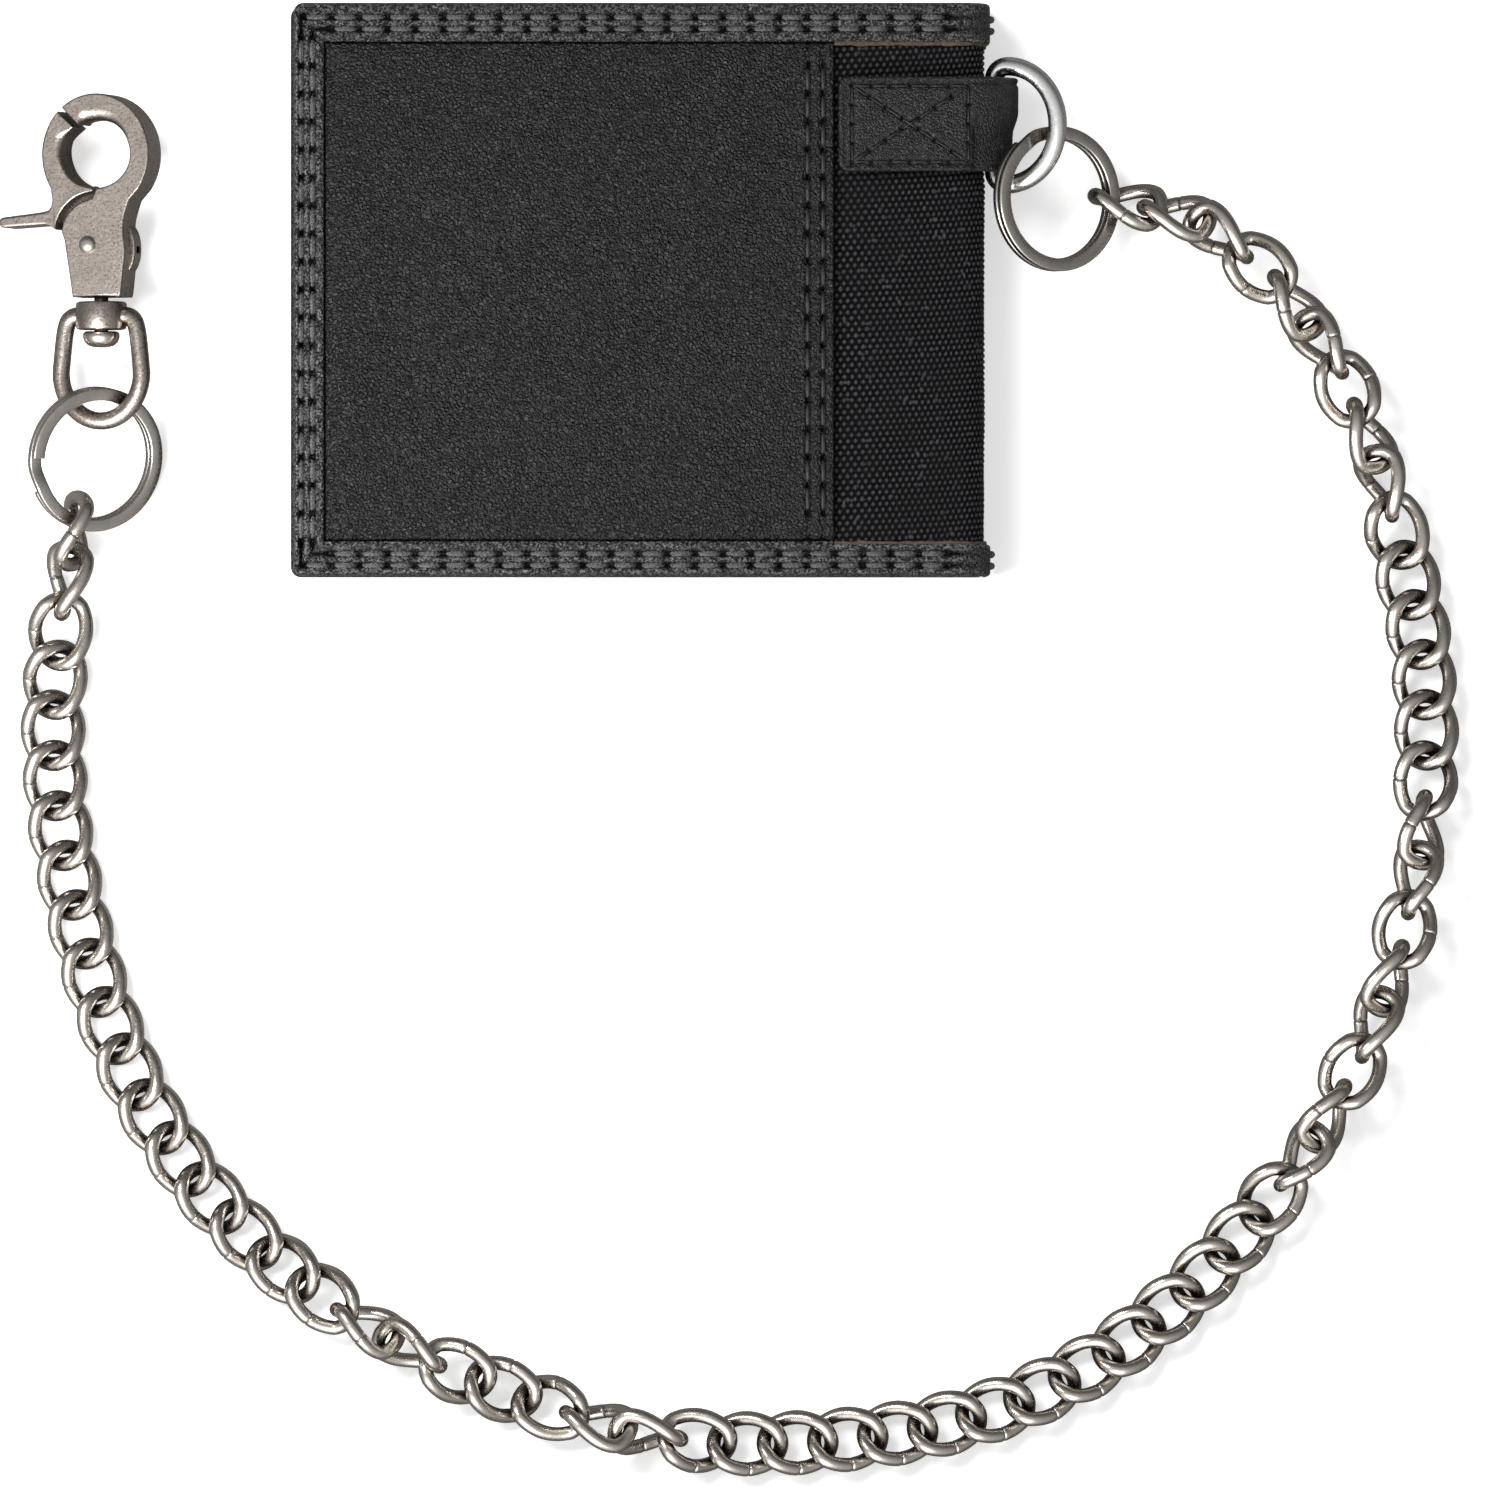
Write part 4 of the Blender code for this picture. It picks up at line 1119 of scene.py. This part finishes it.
def tab_height(u, v):
    """The tab's outer face: creased along its edge, with a hole at each stitch and faint lines between."""
    edge = np.minimum(u, TAB_HALF - np.abs(v - TAB_Y))
    pulled = np.zeros_like(u)
    for holes in box_runs():
        for hole in holes:
            away = np.hypot(u - hole[0], v - hole[1])
            pulled = np.maximum(pulled, 0.70 * np.exp(-((away / 0.40) ** 2)))
        along = (holes[-1] - holes[0]) / np.linalg.norm(holes[-1] - holes[0])
        off = np.abs((u - holes[0][0]) * along[1] - (v - holes[0][1]) * along[0])
        inside = (u > BOX_LEFT - 0.4) & (u < BOX_RIGHT + 0.4) & (np.abs(v - TAB_Y) < BOX_HALF + 0.4)
        pulled = np.maximum(pulled, 0.34 * inside * np.exp(-((off / 0.30) ** 2)))
    crease = 0.24 * np.exp(-(((edge - TAB_CREASE) / 0.26) ** 2))
    swell = 0.10 * smoothstep(edge / 2.5) + 0.03 * ripple(u, v, 4, 7)
    dent = DENT * smoothstep((DENT_TOP - v) / 4.5)
    dent = dent * smoothstep((u - DENT_START + 1.5) / 1.5) * smoothstep((DENT_END + 1.5 - u) / 1.5)
    shallow = 1 - 0.8 * dent / DENT
    return TAB_THICK / 2 - dent + shallow * (swell - crease) - pulled - rolled(edge, 0.4)


def tab():
    """The leather tab and its box of stitches; one piece with the D-ring's loop."""
    path = tab_path()
    run = np.concatenate([[0], np.cumsum(np.linalg.norm(np.diff(path, axis=0), axis=1))])
    slope = np.gradient(path, run, axis=0)
    slope /= np.linalg.norm(slope, axis=1)[:, None]

    def place(u, v, height):
        u, v = disc_corners(u, v, 0.0, TAB_Y - TAB_HALF, TAB_Y + TAB_HALF, TAB_CORNER)
        x, z = np.interp(u, run, path[:, 0]), np.interp(u, run, path[:, 1])
        dx, dz = np.interp(u, run, slope[:, 0]), np.interp(u, run, slope[:, 1])
        return np.stack([x - dz * height, v, z + dx * height], -1)

    us = edged(lines(0.0, run[-1], step=0.24))
    vs = edged(lines(TAB_Y - TAB_HALF, TAB_Y + TAB_HALF, step=0.24))
    strap = sheet("tab_and_loop", us, vs, lambda u, v: place(u, v, tab_height(u, v)),
                  lambda u, v: place(u, v, np.full_like(u, -TAB_THICK / 2)), TAB_LEATHER)
    bridge(strap, "leather", "tab_base", "tab_loop")
    stitches = []
    for holes in box_runs():
        for here, there in zip(holes, holes[1:]):
            ends = np.array([here + (there - here) * share for share in (0.1, 0.9)])
            u, v = ends[:, 0], ends[:, 1]
            low, high = place(u, v, tab_height(u, v) + 0.1), place(u, v, tab_height(u, v) + 1.1)
            stitches.append((low[0], low[1], (high - low).mean(0)))
    thread = make("tab_box_stitches", *thread_run(stitches, BOX_WIRE, 0.28), FINE_THREAD)
    settle(thread, "front_half", "leather")


def slab(name, node, body, finish, slot, wave, seam_depth=0.0, up=1):
    """A thin sheet in a CAD panel's box, with rolled edges, slow waves and, if wanted, a seam at its top."""
    low, high = (Vector(corner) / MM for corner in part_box(node))
    thick, middle = (high.z - low.z) / 2, (low.z + high.z) / 2
    seam_at = high.y - 2.1
    us = edged(lines(low.x, high.x, step=1.3))
    vs = edged(lines(low.y, seam_at - 0.8, seam_at + 0.8, high.y, step=1.3))
    vs = np.unique(np.append(vs, seam_at + np.array([-0.5, -0.25, 0, 0.25, 0.5])))

    def faced(u, v, side):
        edge = np.minimum.reduce([u - low.x, high.x - u, v - low.y, high.y - v])
        depth = thick - rolled(edge, thick * 0.9) - seam_depth * np.exp(-(((v - seam_at) / 0.35) ** 2))
        x, y = disc_corners(u, v, low.x, low.y, high.y, 2.0)
        return np.stack([x, y, middle + side * depth + wave * ripple(u, v, 30, 11)], -1)

    piece = sheet(name, us, vs, lambda u, v: faced(u, v, up), lambda u, v: faced(u, v, -up), finish)
    settle(piece, body, slot, node)
    if seam_depth:
        stitches = []
        for x in np.arange(low.x + 3, high.x - 4, 3.0):
            lift = float(ripple(np.array([x]), np.array([seam_at]), 30, 11)[0])
            z = middle + up * (thick - 0.03) + wave * lift
            stitches.append(((x, seam_at, z), (x + 2.2, seam_at, z), (0, 0, up)))
        thread = make(f"{name}_stitches", *thread_run(stitches, 0.16, 0.26), THREAD)
        settle(thread, body, "leather")


def inner_layers():
    """Linings, bill compartment walls and card pockets of both halves."""
    for side, up in (("back", 1), ("front", -1)):
        body = f"{side}_half"
        slab(f"{side}_lining_cloth", f"{side}_lining", body, LINING, "lining", 0.03, up=up)
        slab(f"{side}_bill_wall", f"{side}_inner_panel", body, POCKET_LEATHER, "leather", 0.03, 0.05, up)
        for i in (1, 2, 3):
            node = f"{side}_card_pocket_{i}"
            slab(f"{node}_leather", node, body, POCKET_LEATHER, "leather", 0.02, 0.06, up)


def back_cover():
    """The half that lies on the table: leather with rolled edges and two sunk rows of stitches underneath."""
    low, high = (Vector(corner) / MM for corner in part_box("back_cover"))
    us, vs = edged(lines(low.x, high.x, step=0.6)), edged(lines(low.y, high.y, step=0.6))
    rows, sunk = (1.9, 4.2), 0.42

    def edge(u, v):
        return np.minimum.reduce([u - low.x, v - low.y, high.y - v])

    def place(u, v, z):
        x, y = disc_corners(u, v, low.x, low.y, high.y, CORNER)
        return np.stack([x, y, z], -1)

    def surface(u, v):
        return place(u, v, high.z - rolled(edge(u, v), 0.45) + 0.05 * ripple(u, v, 20, 12))

    def underside(u, v):
        dip = sum(0.40 * np.exp(-(((edge(u, v) - row) / 0.55) ** 2)) for row in rows)
        dip = dip + rolled(edge(u, v), 0.45) + 0.02 * (1 + ripple(u, v, 6, 13))
        return place(u, v, low.z + np.clip(dip, 0, 0.8))

    cover = sheet("back_cover_leather", us, vs, surface, underside, LEATHER)
    settle(cover, "back_half", "leather", "back_cover")
    stitches = []
    for row in rows:
        for x in np.arange(low.x + row + 1, high.x - STITCH_PITCH, STITCH_PITCH):
            for y in (low.y + row, high.y - row):
                stitches.append(((x, y, sunk), (x + 0.8 * STITCH_PITCH, y, sunk), (0, 0, -0.5)))
        x = low.x + row
        for y in np.arange(low.y + row + 1, high.y - row - STITCH_PITCH, STITCH_PITCH):
            stitches.append(((x, y, sunk), (x, y + 0.8 * STITCH_PITCH, sunk), (0, 0, -0.5)))
    thread = make("back_cover_stitches", *thread_run(stitches, 0.24), THREAD)
    settle(thread, "back_half", "leather")


# ---------------------------------------------------------------- stage


def floor():
    """White paper that glows a little, and that looks dull in the metal's reflections."""
    mesh = bpy.data.meshes.new("floor")
    half = FLOOR_HALF * MM
    corners = [(-half, -half, 0), (half, -half, 0), (half, half, 0), (-half, half, 0)]
    mesh.from_pydata(corners, [], [(0, 1, 2, 3)])
    obj = add_object("floor", mesh)
    obj.location.z = cad_low.z - FLOOR_DROP * MM
    paper = Nodes("white_paper")
    reflected = paper.tree.nodes.new("ShaderNodeLightPath").outputs["Is Glossy Ray"]
    colour = paper.mixed(reflected, (0.93, 0.93, 0.93), (0.16, 0.155, 0.15))
    glow = paper.between(reflected, 0.50, 0.0)
    mesh.materials.append(paper.finish(Base_Color=colour, Roughness=0.9, Specular_IOR_Level=0.1,
                                       Emission_Color=(1.0, 1.0, 1.0, 1.0), Emission_Strength=glow))


def sky():
    """An even white light for matt surfaces. Shiny ones see one soft reflector in a dim room instead."""
    world = bpy.data.worlds.new("studio")
    bpy.context.scene.world = world
    world.use_nodes = True
    tree = world.node_tree
    add, link = tree.nodes.new, tree.links.new
    even = tree.nodes["Background"]
    even.inputs["Color"].default_value, even.inputs["Strength"].default_value = (1, 1, 1, 1), 0.42
    toward = add("ShaderNodeVectorMath")
    toward.operation = "DOT_PRODUCT"
    toward.inputs[1].default_value = Vector(REFLECTOR).normalized()
    link(add("ShaderNodeTexCoord").outputs["Generated"], toward.inputs[0])
    share = add("ShaderNodeMath")
    share.operation = "MULTIPLY_ADD"
    share.inputs[1].default_value, share.inputs[2].default_value = 0.5, 0.5
    link(toward.outputs["Value"], share.inputs[0])
    ramp = add("ShaderNodeValToRGB")
    stops = ramp.color_ramp.elements
    for element, (position, level) in zip(stops, (REFLECTED[0], REFLECTED[-1])):
        element.position, element.color = position, (level, level, level, 1)
    for position, level in REFLECTED[1:-1]:
        stops.new(position).color = (level, level, level, 1)
    link(share.outputs[0], ramp.inputs["Fac"])
    room, choice = add("ShaderNodeBackground"), add("ShaderNodeMixShader")
    link(ramp.outputs["Color"], room.inputs["Color"])
    link(add("ShaderNodeLightPath").outputs["Is Glossy Ray"], choice.inputs["Fac"])
    link(even.outputs[0], choice.inputs[1])
    link(room.outputs[0], choice.inputs[2])
    link(choice.outputs[0], tree.nodes["World Output"].inputs["Surface"])


def lamp(name, place, target, size, power, shines=True):
    """A square soft light. One that doesn't shine lights surfaces without showing in their reflections."""
    data = bpy.data.lights.new(name, "AREA")
    data.shape, data.size, data.energy = "SQUARE", size, power
    obj = add_object(name, data)
    obj.location = place
    obj.rotation_euler = (Vector(target) - Vector(place)).to_track_quat("-Z", "Y").to_euler()
    obj.visible_glossy = shines


def camera():
    """Straight above the object, as far away as a long lens stands."""
    middle = Vector(((cad_low.x + cad_high.x) / 2, (cad_low.y + cad_high.y) / 2, 0))
    middle += Vector((2.4, -1.4, 0)) * MM
    data = bpy.data.cameras.new("camera")
    data.lens = data.sensor_width * (CAMERA_HEIGHT - 6) / VIEW_TALL
    data.clip_start, data.clip_end = 0.05, 10
    obj = add_object("camera", data)
    obj.location = middle + Vector((0, 0, CAMERA_HEIGHT * MM))
    bpy.context.scene.camera = obj


def stage():
    floor()
    sky()
    lamp("key", (-0.50, 0.45, 0.85), (0.01, -0.07, 0), 0.45, 10.0, shines=False)
    lamp("sheen", (-0.13, -0.09, 0.15), (-0.04, -0.02, 0), 0.06, 0.30)
    camera()
    bpy.context.scene.view_settings.view_transform = "Standard"


def build():
    for startup in [o for o in bpy.data.objects if o.name in ("Cube", "Light", "Camera")]:
        bpy.data.objects.remove(startup)
    leather_border()
    padded_panel()
    canvas_sheet()
    raw_edges()
    front_stitches()
    tab()
    inner_layers()
    back_cover()
    d_ring()
    split_ring("split_ring_wallet", "split_ring_wallet", 130)
    split_ring("split_ring_hook", "split_ring_hook", 205)
    chain()
    snap_hook()
    stage()


build()
